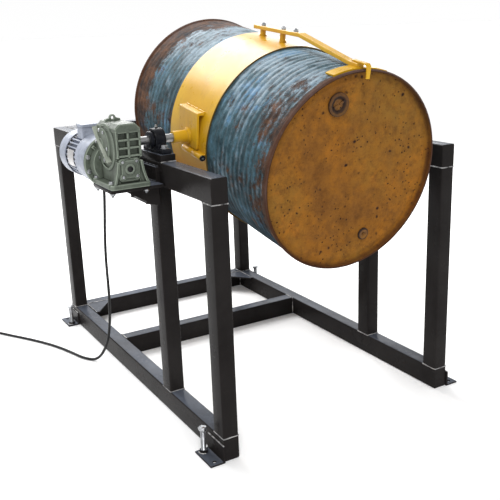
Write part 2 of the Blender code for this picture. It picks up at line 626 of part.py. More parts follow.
def bands():
    """The two halves of the drum clamp, hinged at the drive side and bolted at the idle side."""
    below = BAND_SPLIT + DRUM_DROP
    upper_edge = math.degrees(math.asin((below + BAND_JOINT_GAP / 2) / BAND_INNER))
    lower_edge = math.degrees(math.asin((below - BAND_JOINT_GAP / 2) / BAND_INNER))
    upper = place("upper_band", band_mesh(upper_edge, 180 - upper_edge), "band_yellow", CRADLE)
    lower = place("lower_band", band_mesh(-180 - lower_edge, lower_edge), "band_yellow", CRADLE)
    joint_low, joint_high = BAND_SPLIT - BAND_JOINT_GAP / 2, BAND_SPLIT + BAND_JOINT_GAP / 2
    pin_hole = cylinder_mesh(PIN_RADIUS + GAP, -0.15, 0.15, TO_Y, (HINGE_X, 0, BAND_SPLIT), 20)
    combine(upper, "UNION", knuckle(KNUCKLE_FRONT, KNUCKLE_MIDDLE, joint_high, BAND_SPLIT + 0.008)
            + [clamp_lug(joint_high, joint_high + 0.008)], CRADLE)
    combine(upper, "DIFFERENCE", [pin_hole], CRADLE)
    combine(lower, "UNION", knuckle(KNUCKLE_MIDDLE + GAP, KNUCKLE_BACK, BAND_SPLIT - 0.008, joint_low)
            + [clamp_lug(joint_low - 0.008, joint_low)], CRADLE)
    combine(lower, "DIFFERENCE", [pin_hole.copy()], CRADLE)
    turned("hinge_pin",
           [(0.0, KNUCKLE_BACK + 0.008), (0.0072, KNUCKLE_BACK + 0.008), (0.0072, KNUCKLE_BACK + GAP),
            (PIN_RADIUS, KNUCKLE_BACK + GAP), (PIN_RADIUS, KNUCKLE_FRONT - 0.004), (0.0, KNUCKLE_FRONT - 0.004)],
           "bright_steel", CRADLE, (HINGE_X, 0, BAND_SPLIT), steps=20)


def trunnion(side, mirror):
    """A plate with a top leg that meets the band, and a hub that takes the shaft."""
    band_side = FRAME_WIDTH / 2 - BAND_OUTER

    def band_x(height):
        return FRAME_WIDTH / 2 - math.sqrt(BAND_OUTER ** 2 - (height + DRUM_DROP) ** 2)

    plate_in = band_side - GAP
    plate_out = plate_in - PLATE_THICK
    leg_under = PLATE_TOP - PLATE_THICK
    leg_end = band_x(leg_under) - 0.0006
    outline = [(plate_out, PLATE_BOTTOM), (plate_in, PLATE_BOTTOM), (plate_in, leg_under), (leg_end, leg_under),
               (band_x(PLATE_TOP) - 0.0006, PLATE_TOP), (plate_out, PLATE_TOP)]
    hub_start = plate_out - HUB_LENGTH
    if mirror:
        outline = [(FRAME_WIDTH - x, z) for x, z in outline]
    turn = Matrix(((1, 0, 0, 0), (0, 0, 1, 0), (0, 1, 0, 0), (0, 0, 0, 1)))
    item = place(f"{side}_trunnion", prism_mesh(outline, -PLATE_HALF, PLATE_HALF, turn), "band_yellow", CRADLE)

    def across(low, high):
        return (FRAME_WIDTH - high, FRAME_WIDTH - low) if mirror else (low, high)

    hub = cylinder_mesh(HUB_RADIUS, *across(hub_start, plate_out + 0.002))
    collar = cylinder_mesh(HUB_RADIUS + 0.005, *across(plate_out - 0.007, plate_out + 0.001))
    bore = cylinder_mesh(SHAFT_RADIUS + GAP, *across(hub_start - 0.01, plate_out + 0.004))
    combine(item, "UNION", [hub, collar], CRADLE)
    combine(item, "DIFFERENCE", [bore], CRADLE)
    return plate_out + 0.003


def shafts():
    inner_end = trunnion("left", False)
    trunnion("right", True)
    chamfer = 0.001
    for node, low, high in (("drive_shaft", CASE_OUT + 0.010, inner_end),
                            ("idler_shaft", FRAME_WIDTH - inner_end, FRAME_WIDTH + 0.012)):
        turned(node,
               [(0.0, high), (SHAFT_RADIUS - chamfer, high), (SHAFT_RADIUS, high - chamfer),
                (SHAFT_RADIUS, low + chamfer), (SHAFT_RADIUS - chamfer, low), (0.0, low)],
               "bright_steel", PIVOT, turn=TO_X, steps=28)


def hold_down_bar():
    """A cranked bar on two posts over the band, ending in a curved strap near the front chime."""
    half = BAR_WIDTH / 2
    mid = FRAME_WIDTH / 2
    line = [(0.122, 0.2905), (-0.132, 0.3050), (-0.378, 0.2725), (-0.418, 0.2725)]
    upper = [(s, h + BAR_THICK) for s, h in line]
    outline = line + upper[::-1]
    turn = Matrix(((0, 0, 1, 0), (1, 0, 0, 0), (0, 1, 0, 0), (0, 0, 0, 1)))
    bar = place("hold_down_bar", prism_mesh(outline, mid - half, mid + half, turn), "band_yellow", CRADLE)
    foot_z = BAND_OUTER - DRUM_DROP + GAP
    posts = [cylinder_mesh(0.009, foot_z, 0.300, Matrix.Identity(4), (mid, s, 0), 20) for s in (0.083, -0.032)]
    strap = band_mesh(72, 108, -0.425, -0.387, SHELL_RADIUS + 0.0008, SHELL_RADIUS + 0.0058, 12)
    combine(bar, "UNION", [*posts, strap], CRADLE)


def chime_hook():
    """A bent flat that clamps over the front chime."""
    top = HOOK_REACH[1]
    front = HOOK_REACH[0]
    outline = [(-0.388, top - HOOK_THICK), (-0.388, top), (front + 0.003, top), (front, top - 0.003),
               (front, 0.2500), (front + HOOK_THICK, 0.2500), (front + HOOK_THICK, top - HOOK_THICK)]
    half = HOOK_WIDTH / 2
    turn = Matrix(((0, 0, 1, 0), (1, 0, 0, 0), (0, 1, 0, 0), (0, 0, 0, 1)))
    mid = FRAME_WIDTH / 2
    place("chime_hook", prism_mesh(outline, mid - half, mid + half, turn), "band_yellow", CRADLE)


# ---- drum -----------------------------------------------------------------------------------------
def drum():
    at = (FRAME_WIDTH / 2, 0, -DRUM_DROP)
    inner = SHELL_RADIUS - SHELL_WALL
    half, rim = DRUM_HALF, DRUM_HALF - CHIME_LENGTH
    turned("drum_shell",
           [(CHIME_RADIUS, half - 0.002), (CHIME_RADIUS, rim), (SHELL_RADIUS, rim - 0.003),
            (SHELL_RADIUS, -rim + 0.003), (CHIME_RADIUS, -rim), (CHIME_RADIUS, -half + 0.002),
            (CHIME_RADIUS - 0.002, -half), (inner, -half), (inner, half), (CHIME_RADIUS - 0.002, half)],
           "drum_blue", CRADLE, at, steps=60)
    head = inner - GAP
    face = half - HEAD_RECESS
    for node, side in (("drum_rear_head", 1), ("drum_front_head", -1)):
        profile = [(0.0, face), (head - 0.006, face), (head - 0.0016, half - 0.001), (head, half - 0.001),
                   (head, face - 0.003), (head - 0.004, face - 0.0016), (0.0, face - 0.0016)]
        if side < 0:
            profile = [(radius, -height) for radius, height in profile][::-1]
        turned(node, profile, "drum_rust", CRADLE, at, steps=60)
    front_head = bpy.data.objects["drum_front_head"]
    for node, radius, sign in (("drum_large_bung", LARGE_BUNG_RADIUS, 1), ("drum_small_bung", SMALL_BUNG_RADIUS, -1)):
        x = FRAME_WIDTH / 2 - sign * BUNG_CIRCLE * math.sin(BUNG_ANGLE)
        z = -DRUM_DROP + sign * BUNG_CIRCLE * math.cos(BUNG_ANGLE)
        hole = cylinder_mesh(radius, -0.46, -0.40, TO_Y, (x, 0, z), 32)
        combine(front_head, "DIFFERENCE", [hole], CRADLE)
        lip = radius + 0.005
        neck = radius - GAP
        turned(node,
               [(0.0, 0.010), (neck, 0.010), (neck, -GAP), (lip, -GAP), (lip, -0.006),
                (neck - 0.006, -0.006), (neck - 0.007, -0.003), (0.0, -0.003)],
               "drum_rust", CRADLE, (x, -face, z), steps=32)


# ---- power cord -----------------------------------------------------------------------------------
CORD_EXIT = (-0.080, 0.6221, 0.9080)
CORD_ROUTE = [CORD_EXIT, (-0.0795, 0.650, 0.9080), (-0.072, 0.685, 0.9030), (-0.056, 0.718, 0.886),
              (-0.040, 0.742, 0.850), (-0.029, 0.755, 0.800), (-0.023, 0.761, 0.740), (-0.020, 0.768, 0.668),
              (-0.020, 0.780, 0.600), (-0.020, 0.797, 0.525), (-0.020, 0.811, 0.440), (-0.020, 0.815, 0.370),
              (-0.021, 0.812, 0.300), (-0.024, 0.810, 0.235), (-0.028, 0.813, 0.172), (-0.034, 0.824, 0.115),
              (-0.043, 0.843, 0.066), (-0.056, 0.866, 0.028), (-0.073, 0.888, 0.0085), (-0.092, 0.914, 0.0053),
              (-0.109, 0.950, 0.0053), (-0.124, 1.000, 0.0053), (-0.144, 1.063, 0.0053),
              (-0.170, 1.128, 0.0053), (-0.204, 1.196, 0.0053), (-0.242, 1.262, 0.0053),
              (-0.278, 1.320, 0.0053), (-0.3085, 1.371, 0.0053), (-0.341, 1.4155, 0.0053)]


def smooth_path(route, spacing):
    """Evenly spaced points on a Catmull-Rom curve through the route."""
    points = [Vector(p) for p in route]
    points = [2 * points[0] - points[1], *points, 2 * points[-1] - points[-2]]
    fine = []
    for a, b, c, d in zip(points, points[1:], points[2:], points[3:]):
        for i in range(40):
            t = i / 40
            fine.append(0.5 * (2 * b + (c - a) * t + (2 * a - 5 * b + 4 * c - d) * t ** 2
                               + (3 * b - a - 3 * c + d) * t ** 3))
    fine.append(points[-2])
    total = sum((q - p).length for p, q in zip(fine, fine[1:]))
    count = round(total / spacing)
    even, walked, target = [fine[0]], 0.0, total / count
    for p, q in zip(fine, fine[1:]):
        step = (q - p).length
        while walked + step >= target - 1e-9 and len(even) < count:
            even.append(p + (q - p) * ((target - walked) / step))
            target += total / count
        walked += step
    even.append(fine[-1])
    return even


def power_cord():
    """The cord's free stretch, the coil that stores the rest of it, and its plug."""
    curve = bpy.data.curves.new("power_cord", "CURVE")
    curve.dimensions = "3D"
    curve.bevel_depth = CORD_RADIUS
    curve.bevel_resolution = 2
    curve.use_fill_caps = True
    points = smooth_path(CORD_ROUTE, 2.6 * 2 * CORD_RADIUS)
    spline = curve.splines.new("POLY")
    spline.points.add(len(points) - 1)
    for spot, point in zip(spline.points, points):
        spot.co = (*point, 1.0)
    cord = bpy.data.objects.new("power_cord", curve)
    cord.parent = ROOT
    curve.materials.append(new_material("power_cord", "cable_black"))
    PARTS.objects.link(cord)
    low, high = COIL_RADIUS - COIL_HALF_WIDTH, COIL_RADIUS + COIL_HALF_WIDTH
    turned("power_cord_coil",
           [(high - 0.003, COIL_HEIGHT), (high, COIL_HEIGHT - 0.003), (high, 0.0033), (high - 0.003, 0.0003),
            (low + 0.003, 0.0003), (low, 0.0033), (low, COIL_HEIGHT - 0.003), (low + 0.003, COIL_HEIGHT)],
           "cable_black", ROOT, (*COIL_CENTRE, 0), Matrix.Identity(4), 36)
    turned("power_plug",
           [(0.0, 0.0), (0.0065, 0.0), (0.0085, -0.018), (PLUG_RADIUS, -0.034), (PLUG_RADIUS, -0.074),
            (PLUG_RADIUS - 0.002, -0.077), (0.0, -0.077)],
           "black_plastic", ROOT,
           (COIL_CENTRE[0] - high + 0.0055 - 0.0005, COIL_CENTRE[1] - 0.0402, PLUG_RADIUS + 0.0003), steps=28)


# ---- assembly -------------------------------------------------------------------------------------
clear_scene()
PARTS = new_collection("drum_tumbler")
CUTTERS = new_collection("cutters")
ROOT = new_empty("machine_origin", -ORIGIN)
PIVOT = new_empty("tumbling_axis", (0, PIVOT_Y, PIVOT_Z), ROOT)
CRADLE = new_empty("cradle_axes", (0, PIVOT_Y, PIVOT_Z), ROOT, TILT)
WORM_AXIS = new_empty("worm_axis", (GEAR_X, PIVOT_Y, WORM_Z), ROOT)
BEARING_AXES = {"left": new_empty("left_bearing_axis", (TUBE_WIDTH / 2, PIVOT_Y, PIVOT_Z), ROOT),
                "right": new_empty("right_bearing_axis", (FRAME_WIDTH - TUBE_WIDTH / 2, PIVOT_Y, PIVOT_Z), ROOT)}

frame()
pillow_block("left", TUBE_WIDTH / 2)
pillow_block("right", FRAME_WIDTH - TUBE_WIDTH / 2)
gearbox_bracket()
gearbox_housing()
gearbox_covers()
worm_wheel()
worm_shaft()
motor()
shafts()
bands()
hold_down_bar()
chime_hook()
drum()
power_cord()
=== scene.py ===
"""The looks of the powered drum tumbler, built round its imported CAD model.

Machine positions are measured from the drive side frame's outer, front, bottom corner: X towards
the idle side, Y towards the back, Z up. Cradle positions are (x, s, h), where s runs along the
drum towards its back end and h away from it, from the tumbling axis, at the drum's tilt.
"""

import math
import random

import bmesh
import bpy
from mathutils import Matrix, Vector, noise


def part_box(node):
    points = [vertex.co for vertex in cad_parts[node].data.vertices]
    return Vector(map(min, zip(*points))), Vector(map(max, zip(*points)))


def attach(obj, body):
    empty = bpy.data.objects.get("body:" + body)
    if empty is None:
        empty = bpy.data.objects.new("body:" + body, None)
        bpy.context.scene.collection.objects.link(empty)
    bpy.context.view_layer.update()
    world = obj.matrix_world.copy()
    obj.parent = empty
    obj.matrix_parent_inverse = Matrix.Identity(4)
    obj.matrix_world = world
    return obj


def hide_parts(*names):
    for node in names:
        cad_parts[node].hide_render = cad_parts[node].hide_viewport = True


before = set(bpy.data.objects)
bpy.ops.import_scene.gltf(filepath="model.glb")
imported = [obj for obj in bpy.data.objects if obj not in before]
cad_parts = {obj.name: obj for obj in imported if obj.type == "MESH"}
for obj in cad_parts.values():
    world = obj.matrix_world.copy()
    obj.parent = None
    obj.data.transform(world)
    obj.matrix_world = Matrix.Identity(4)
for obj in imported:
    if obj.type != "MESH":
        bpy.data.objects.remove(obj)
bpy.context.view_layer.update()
random.seed(7)

# ---- dimensions shared with the CAD model (metres) -----------------------------------------------
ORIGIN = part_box("left_bottom_rail")[0]
GAP = 0.0003
FRAME_WIDTH, FRAME_LENGTH, FRAME_HEIGHT = 0.86, 1.37, 0.83
TUBE_WIDTH, RAIL_DEPTH, UPRIGHT_DEPTH = 0.05, 0.072, 0.06
PIVOT_Y, PIVOT_Z = 0.387, 0.888
TILT = math.radians(9.5)
DRUM_DROP = 0.02
SHAFT_RADIUS = 0.0125
WALL_END = 0.4165  # the drum wall's reach along its axis, each way
GEAR_X, WORM_Z = -0.1065, 0.828

MACHINE = Matrix.Translation(ORIGIN)
CRADLE = MACHINE @ Matrix.Translation((0, PIVOT_Y, PIVOT_Z)) @ Matrix.Rotation(TILT, 4, "X")
ALONG_X = Matrix.Rotation(math.pi / 2, 4, "Y")
ALONG_Y = Matrix.Rotation(-math.pi / 2, 4, "X")
UP = Matrix.Identity(4)
DOWN = Matrix.Rotation(math.pi, 4, "X")

# ---- camera ---------------------------------------------------------------------------------------
def make_camera():
    yaw, pitch, roll = (math.radians(a) for a in (-30.187, -16.415, -2.017))
    data = bpy.data.cameras.new("camera")
    data.sensor_width = 36.0
    data.lens = 55.476
    data.shift_x, data.shift_y = -0.00616, -0.00504
    camera = bpy.data.objects.new("camera", data)
    turn = Matrix.Rotation(yaw, 4, "Z") @ Matrix.Rotation(math.pi / 2 + pitch, 4,
                                                          "X") @ Matrix.Rotation(roll, 4, "Z")
    camera.matrix_world = Matrix.Translation(ORIGIN + Vector((-0.8946, -1.7441, 1.2189))) @ turn
    bpy.context.scene.collection.objects.link(camera)
    bpy.context.scene.camera = camera


make_camera()


# ---- power cord -----------------------------------------------------------------------------------
CORD_RADIUS = 0.005
CORD_EXIT = (-0.08, 0.6221, 0.908)
CORD_ROUTE = [CORD_EXIT, (-0.0795, 0.65, 0.908), (-0.072, 0.685, 0.903), (-0.056, 0.718, 0.886),
              (-0.04, 0.742, 0.85), (-0.029, 0.755, 0.8), (-0.023, 0.761, 0.74), (-0.02, 0.768, 0.668),
              (-0.02, 0.78, 0.6), (-0.02, 0.797, 0.525), (-0.02, 0.811, 0.44), (-0.02, 0.815, 0.37),
              (-0.021, 0.812, 0.3), (-0.024, 0.81, 0.235), (-0.028, 0.813, 0.172), (-0.034, 0.824, 0.115),
              (-0.043, 0.843, 0.066), (-0.056, 0.866, 0.028), (-0.073, 0.888, 0.0085),
              (-0.092, 0.914, 0.0053), (-0.109, 0.95, 0.0053), (-0.124, 1.0, 0.0053),
              (-0.144, 1.063, 0.0053), (-0.17, 1.128, 0.0053), (-0.204, 1.196, 0.0053),
              (-0.242, 1.262, 0.0053), (-0.278, 1.32, 0.0053), (-0.3085, 1.371, 0.0053),
              (-0.341, 1.4155, 0.0053)]
COIL_CENTRE = (-0.415, 1.4)
# (turns from the cord's arrival, radius, height) along the coil
COIL_TURNS = [(0.02, 0.07, 0.0053), (0.08, 0.066, 0.0053), (0.16, 0.063, 0.0053), (0.3, 0.0622, 0.0053),
              (0.85, 0.0622, 0.0053), (1.02, 0.057, 0.0053), (1.12, 0.052, 0.0053), (1.9, 0.0518, 0.0053),
              (2.02, 0.053, 0.0085), (2.12, 0.057, 0.014), (2.2, 0.057, 0.0141), (3.0, 0.057, 0.0141),
              (3.25, 0.06, 0.0152), (3.467, 0.0625, 0.0163)]
COIL_START = math.radians(11.8)


def catmull(points, steps):
    """Points on a smooth curve through the given ones."""
    points = [Vector(p) for p in points]
    points = [2 * points[0] - points[1], *points, 2 * points[-1] - points[-2]]
    fine = []
    for a, b, c, d in zip(points, points[1:], points[2:], points[3:]):
        for i in range(steps):
            t = i / steps
            fine.append(0.5 * (2 * b + (c - a) * t + (2 * a - 5 * b + 4 * c - d) * t ** 2
                               + (3 * b - a - 3 * c + d) * t ** 3))
    fine.append(points[-2])
    return fine


def between(table, value):
    """A smooth reading of a table of (value, ...) rows."""
    for low, high in zip(table, table[1:]):
        if value <= high[0]:
            share = (value - low[0]) / (high[0] - low[0])
            share = min(max(share, 0.0), 1.0)
            share = share * share * (3 - 2 * share)
            return [a + (b - a) * share for a, b in zip(low[1:], high[1:])]
    return list(table[-1][1:])


def cord_points():
    route = [Vector(p) for p in CORD_ROUTE]
    per_turn = 20
    first, last = COIL_TURNS[1][0], COIL_TURNS[-1][0]
    for i in range(round((last - first) * per_turn) + 1):
        turns = first + i / per_turn
        radius, height = between(COIL_TURNS, turns)
        angle = COIL_START + 2 * math.pi * turns
        route.append(Vector((COIL_CENTRE[0] + radius * math.cos(angle),
                             COIL_CENTRE[1] + radius * math.sin(angle), height)))
    side = COIL_CENTRE[0] - 0.0625
    route += [Vector((side, 1.385, 0.017)), Vector((side, 1.37, 0.0178)), Vector((side, 1.356, 0.0183))]
    return [p + ORIGIN for p in catmull(route, 4)]


# ---- mesh building --------------------------------------------------------------------------------
def add_loft(shape, rings, matrix=UP, caps=True, loop=False):
    """Skins a row of rings of points; loop joins the last ring to the first."""
    made = [[shape.verts.new(matrix @ Vector(p)) for p in ring] for ring in rings]
    pairs = list(zip(made, made[1:])) + ([(made[-1], made[0])] if loop else [])
    for low, high in pairs:
        for i in range(len(low)):
            j = (i + 1) % len(low)
            shape.faces.new((low[i], low[j], high[j], high[i]))
    if caps and not loop:
        shape.faces.new(made[0][::-1])
        shape.faces.new(made[-1])


def circle(radius, height, steps):
    return [(radius * math.cos(2 * math.pi * i / steps), radius * math.sin(2 * math.pi * i / steps), height)
            for i in range(steps)]


def add_turned(shape, profile, matrix=UP, steps=48):
    """Revolves (radius, height) points about Z; a profile that starts on the axis is solid."""
    solid = profile[0][0] < 1e-6
    rings = [circle(r, z, steps) for r, z in profile if r > 1e-6]
    add_loft(shape, rings, matrix, caps=solid, loop=not solid)


def add_box(shape, low, high, matrix=UP, bevel=0.001, segments=2):
    low, high = Vector(low), Vector(high)
    made = bmesh.ops.create_cube(shape, size=1.0)["verts"]
    bmesh.ops.scale(shape, vec=high - low, verts=made)
    bmesh.ops.translate(shape, vec=(low + high) / 2, verts=made)
    bmesh.ops.transform(shape, matrix=matrix, verts=made)
    edges = {edge for vert in made for edge in vert.link_edges}
    if bevel:
        bmesh.ops.bevel(shape, geom=list(edges), offset=bevel, segments=segments, affect="EDGES",
                        profile=0.5)


def add_prism(shape, outline, low, high, matrix=UP, bevel=0.0006):
    """Pushes an XY outline along Z, with its rims softened."""
    def inset(amount):
        count = len(outline)
        area = sum(outline[i - 1][0] * outline[i][1] - outline[i][0] * outline[i - 1][1]
                   for i in range(count))
        side = 1 if area > 0 else -1
        moved = []
        for i in range(count):
            a, b, c = (Vector((*outline[j % count], 0)) for j in (i - 1, i, i + 1))
            d, e = (b - a).normalized(), (c - b).normalized()
            n = Vector((-(d + e).y, (d + e).x, 0)).normalized()
            fit = max(0.3, n.dot(Vector((-d.y, d.x, 0))))
            moved.append(b + n * side * amount / fit)
        return moved
    rings = []
    for height, amount in ((low, bevel), (low + bevel, 0), (high - bevel, 0), (high, bevel)):
        rings.append([(p.x, p.y, height) for p in inset(amount)])
    add_loft(shape, rings, matrix)


def rounded(width, height, radius, steps=5, centre=(0, 0)):
    """The outline of a rounded rectangle."""
    points = []
    for quarter, (x, y) in enumerate(((1, 1), (-1, 1), (-1, -1), (1, -1))):
        for i in range(steps + 1):
            angle = math.pi / 2 * (quarter + i / steps)
            points.append((centre[0] + x * (width / 2 - radius) + radius * math.cos(angle),
                           centre[1] + y * (height / 2 - radius) + radius * math.sin(angle)))
    return points


def add_tube(shape, points, radius, sides=8, closed=False):
    """A round bead along points; radius is a number or a function of the place along it."""
    points = [Vector(p) for p in points]
    count = len(points)
    rings, normal = [], None
    for i, point in enumerate(points):
        after = points[(i + 1) % count] if closed else points[min(i + 1, count - 1)]
        before = points[i - 1] if closed else points[max(i - 1, 0)]
        tangent = (after - before).normalized()
        if normal is None:
            normal = tangent.orthogonal().normalized()
        normal = (normal - tangent * normal.dot(tangent)).normalized()
        other = tangent.cross(normal)
        size = radius(i) if callable(radius) else radius
        rings.append([point + (normal * math.cos(2 * math.pi * s / sides)
                               + other * math.sin(2 * math.pi * s / sides)) * size for s in range(sides)])
    add_loft(shape, rings, caps=not closed, loop=closed)


def spread(points, spacing, closed=False):
    """Evenly spaced points along straight stretches."""
    points = [Vector(p) for p in points]
    ends = points[1:] + ([points[0]] if closed else [])
    made = []
    for a, b in zip(points, ends):
        count = max(1, round((b - a).length / spacing))
        made += [a.lerp(b, i / count) for i in range(count)]
    return made if closed else made + [points[-1]]


def add_weld(shape, points, radius=0.0022, closed=False):
    """A hand-laid weld bead, with ripples about 2.5 mm apart."""
    line = spread(points, 0.0012, closed)
    drift = random.uniform(0, 50)
    line = [p + Vector((noise.noise(p * 90 + Vector((drift, 0, 0))),
                        noise.noise(p * 90 + Vector((0, drift, 0))), noise.noise(p * 90))) * 0.0004
            for p in line]
    add_tube(shape, line,
             lambda i: radius * (1 + 0.16 * math.sin(i * 3.0) + 0.12 * noise.noise(line[i] * 60)), 6, closed)


def add_bolt(shape, matrix, size, head=None, washer=True, stud=0.0):
    """A hexagon head of a bolt or a nut, on a washer; size is the thread's radius, Z leaves the seat."""
    head = head or size * 1.35
    lift = 0.0
    if washer:
        lift = 0.3 * size
        add_turned(shape, [(0, lift), (2.0 * size, lift), (2.1 * size, lift * 0.8), (2.1 * size, 0), (0, 0)],
                   matrix, 28)
    corner = 1.9 * size
    rings = []
    for share, scale in ((0.0, 0.97), (0.06, 1.0), (0.72, 1.0), (0.9, 0.93), (1.0, 0.8)):
        rings.append([(corner * scale * math.cos(math.pi / 3 * i + 0.3),
                       corner * scale * math.sin(math.pi / 3 * i + 0.3), lift + head * share)
                      for i in range(6)])
    add_loft(shape, rings, matrix)
    top = lift + head
    dome = [(0, top + 0.075 * size), (0.9 * size, top + 0.0625 * size), (1.35 * size, top),
            (1.35 * size, top - 0.3 * size), (0, top - 0.3 * size)]
    add_turned(shape, dome, matrix, 24)
    if stud:
        add_thread(shape, matrix, size, top - 0.0005, top + stud, size * 0.25)


def add_thread(shape, matrix, radius, low, high, pitch, steps=8, sides=20):
    """A threaded rod: the radius follows a helical groove."""
    rows = max(2, round((high - low) / pitch * steps))
    depth = pitch * 0.5
    rings = []
    for row in range(rows + 1):
        z = low + (high - low) * row / rows
        end = min(1.0, (z - low) / pitch, (high - z) / pitch)
        ring = []
        for s in range(sides):
            wave = abs(((z / pitch - s / sides) % 1.0) - 0.5) * 2
            size = radius - depth * wave - (1 - end) * depth * 0.5
            ring.append((size * math.cos(2 * math.pi * s / sides), size * math.sin(2 * math.pi * s / sides),
                         z))
        rings.append(ring)
    add_loft(shape, rings, matrix)


def to_mesh(shape):
    bmesh.ops.recalc_face_normals(shape, faces=shape.faces)
    mesh = bpy.data.meshes.new("shape")
    shape.to_mesh(mesh)
    shape.free()
    return mesh


def evaluated(mesh, add_modifiers):
    """The mesh with modifiers applied, as a new mesh."""
    item = bpy.data.objects.new("work", mesh)
    bpy.context.scene.collection.objects.link(item)
    add_modifiers(item)
    bpy.context.view_layer.update()
    result = bpy.data.meshes.new_from_object(item.evaluated_get(bpy.context.evaluated_depsgraph_get()))
    bpy.data.objects.remove(item)
    bpy.data.meshes.remove(mesh)
    return result


def fused(shape, voxel, rounds=5):
    """Joins overlapping solids into one skin with small fillets, as in a casting."""
    def modifiers(item):
        remesh = item.modifiers.new("skin", "REMESH")
        remesh.mode = "VOXEL"
        remesh.voxel_size = voxel
        smooth = item.modifiers.new("fillets", "SMOOTH")
        smooth.factor = 0.5
        smooth.iterations = rounds
    return evaluated(to_mesh(shape), modifiers)


def carved(mesh, cutter_shape):
    """Cuts a shape out of a mesh."""
    cutter = bpy.data.objects.new("cutter", to_mesh(cutter_shape))
    bpy.context.scene.collection.objects.link(cutter)

    def modifiers(item):
        cut = item.modifiers.new("cut", "BOOLEAN")
        cut.operation = "DIFFERENCE"
        cut.solver = "EXACT"
        cut.object = cutter
    result = evaluated(mesh, modifiers)
    bpy.data.objects.remove(cutter)
    return result


def piece(name, shape, material, body, space=MACHINE, stands_for=(), crease=35):
    """Adds a finished piece that rides on a body and stands for its CAD nodes."""
    mesh = to_mesh(shape) if isinstance(shape, bmesh.types.BMesh) else shape
    mesh.name = name
    mesh.materials.clear()
    mesh.materials.append(material)
    mesh.shade_smooth()
    mesh.set_sharp_from_angle(angle=math.radians(crease))
    item = bpy.data.objects.new(name, mesh)
    bpy.context.scene.collection.objects.link(item)
    item.matrix_world = space
    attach(item, body)
    if stands_for:
        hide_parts(*stands_for)
    return item


def shift(x, y, z, turn=UP):
    return Matrix.Translation((x, y, z)) @ turn


def angles(count):
    """A full turn in equal steps."""
    return [2 * math.pi * i / count for i in range(count)]


# ---- materials ------------------------------------------------------------------------------------
class Finish:
    """A Principled material and short ways to build its nodes."""

    def __init__(self, name, roughness=0.5, metallic=0.0, coat=0.0, specular=0.5):
        self.material = bpy.data.materials.new(name)
        self.material.use_nodes = True
        self.tree = self.material.node_tree
        self.shader = self.tree.nodes["Principled BSDF"]
        self.shader.inputs["Metallic"].default_value = metallic
        self.shader.inputs["Roughness"].default_value = roughness
        self.shader.inputs["Coat Weight"].default_value = coat
        self.shader.inputs["Coat Roughness"].default_value = 0.12
        self.shader.inputs["Specular IOR Level"].default_value = specular
        self.place = self.tree.nodes.new("ShaderNodeTexCoord").outputs["Object"]

    def node(self, kind, inputs, **settings):
        made = self.tree.nodes.new(kind)
        for name, value in settings.items():
            setattr(made, name, value)
        for name, value in inputs.items():
            if isinstance(value, bpy.types.NodeSocket):
                self.tree.links.new(value, made.inputs[name])
            else:
                made.inputs[name].default_value = value
        return made

    def scaled(self, scale):
        return self.node("ShaderNodeMapping", {"Vector": self.place, "Scale": scale}).outputs[0]

    def noise(self, scale, detail=4.0, rough=0.55, place=None):
        made = self.node("ShaderNodeTexNoise", {"Vector": place or self.place, "Scale": scale,
                                                "Detail": detail, "Roughness": rough})
        return made.outputs[0]

    def cells(self, scale, place=None):
        return self.node("ShaderNodeTexVoronoi", {"Vector": place or self.place,
                                                  "Scale": scale}).outputs["Distance"]

    def ramp(self, value, stops):
        made = self.node("ShaderNodeValToRGB", {"Fac": value})
        ramp = made.color_ramp
        while len(ramp.elements) < len(stops):
            ramp.elements.new(0.5)
        for element, (spot, colour) in zip(ramp.elements, stops):
            element.position = spot
            element.color = (*colour, 1.0) if isinstance(colour, tuple) else (colour, colour, colour, 1.0)
        return made.outputs[0]

    def mix(self, share, low, high):
        made = self.tree.nodes.new("ShaderNodeMix")
        made.data_type = "RGBA"
        for socket, value in ((made.inputs[0], share), (made.inputs[6], low), (made.inputs[7], high)):
            if isinstance(value, bpy.types.NodeSocket):
                self.tree.links.new(value, socket)
            elif isinstance(value, tuple):
                socket.default_value = (*value, 1.0)
            elif socket.type == "RGBA":
                socket.default_value = (value, value, value, 1.0)
            else:
                socket.default_value = value
        return made.outputs[2]

    def sum(self, operation, low, high):
        return self.node("ShaderNodeMath", {0: low, 1: high}, operation=operation).outputs[0]

    def axis(self, name):
        return self.node("ShaderNodeSeparateXYZ", {"Vector": self.place}).outputs[name]

    def colour(self, socket):
        self.tree.links.new(socket, self.shader.inputs["Base Color"])

    def rough(self, socket):
        self.tree.links.new(socket, self.shader.inputs["Roughness"])

    def bump(self, height, distance, strength=1.0, under=None):
        inputs = {"Height": height, "Distance": distance, "Strength": strength}
        if under:
            inputs["Normal"] = under
        made = self.node("ShaderNodeBump", inputs).outputs[0]
        self.tree.links.new(made, self.shader.inputs["Normal"])
        return made


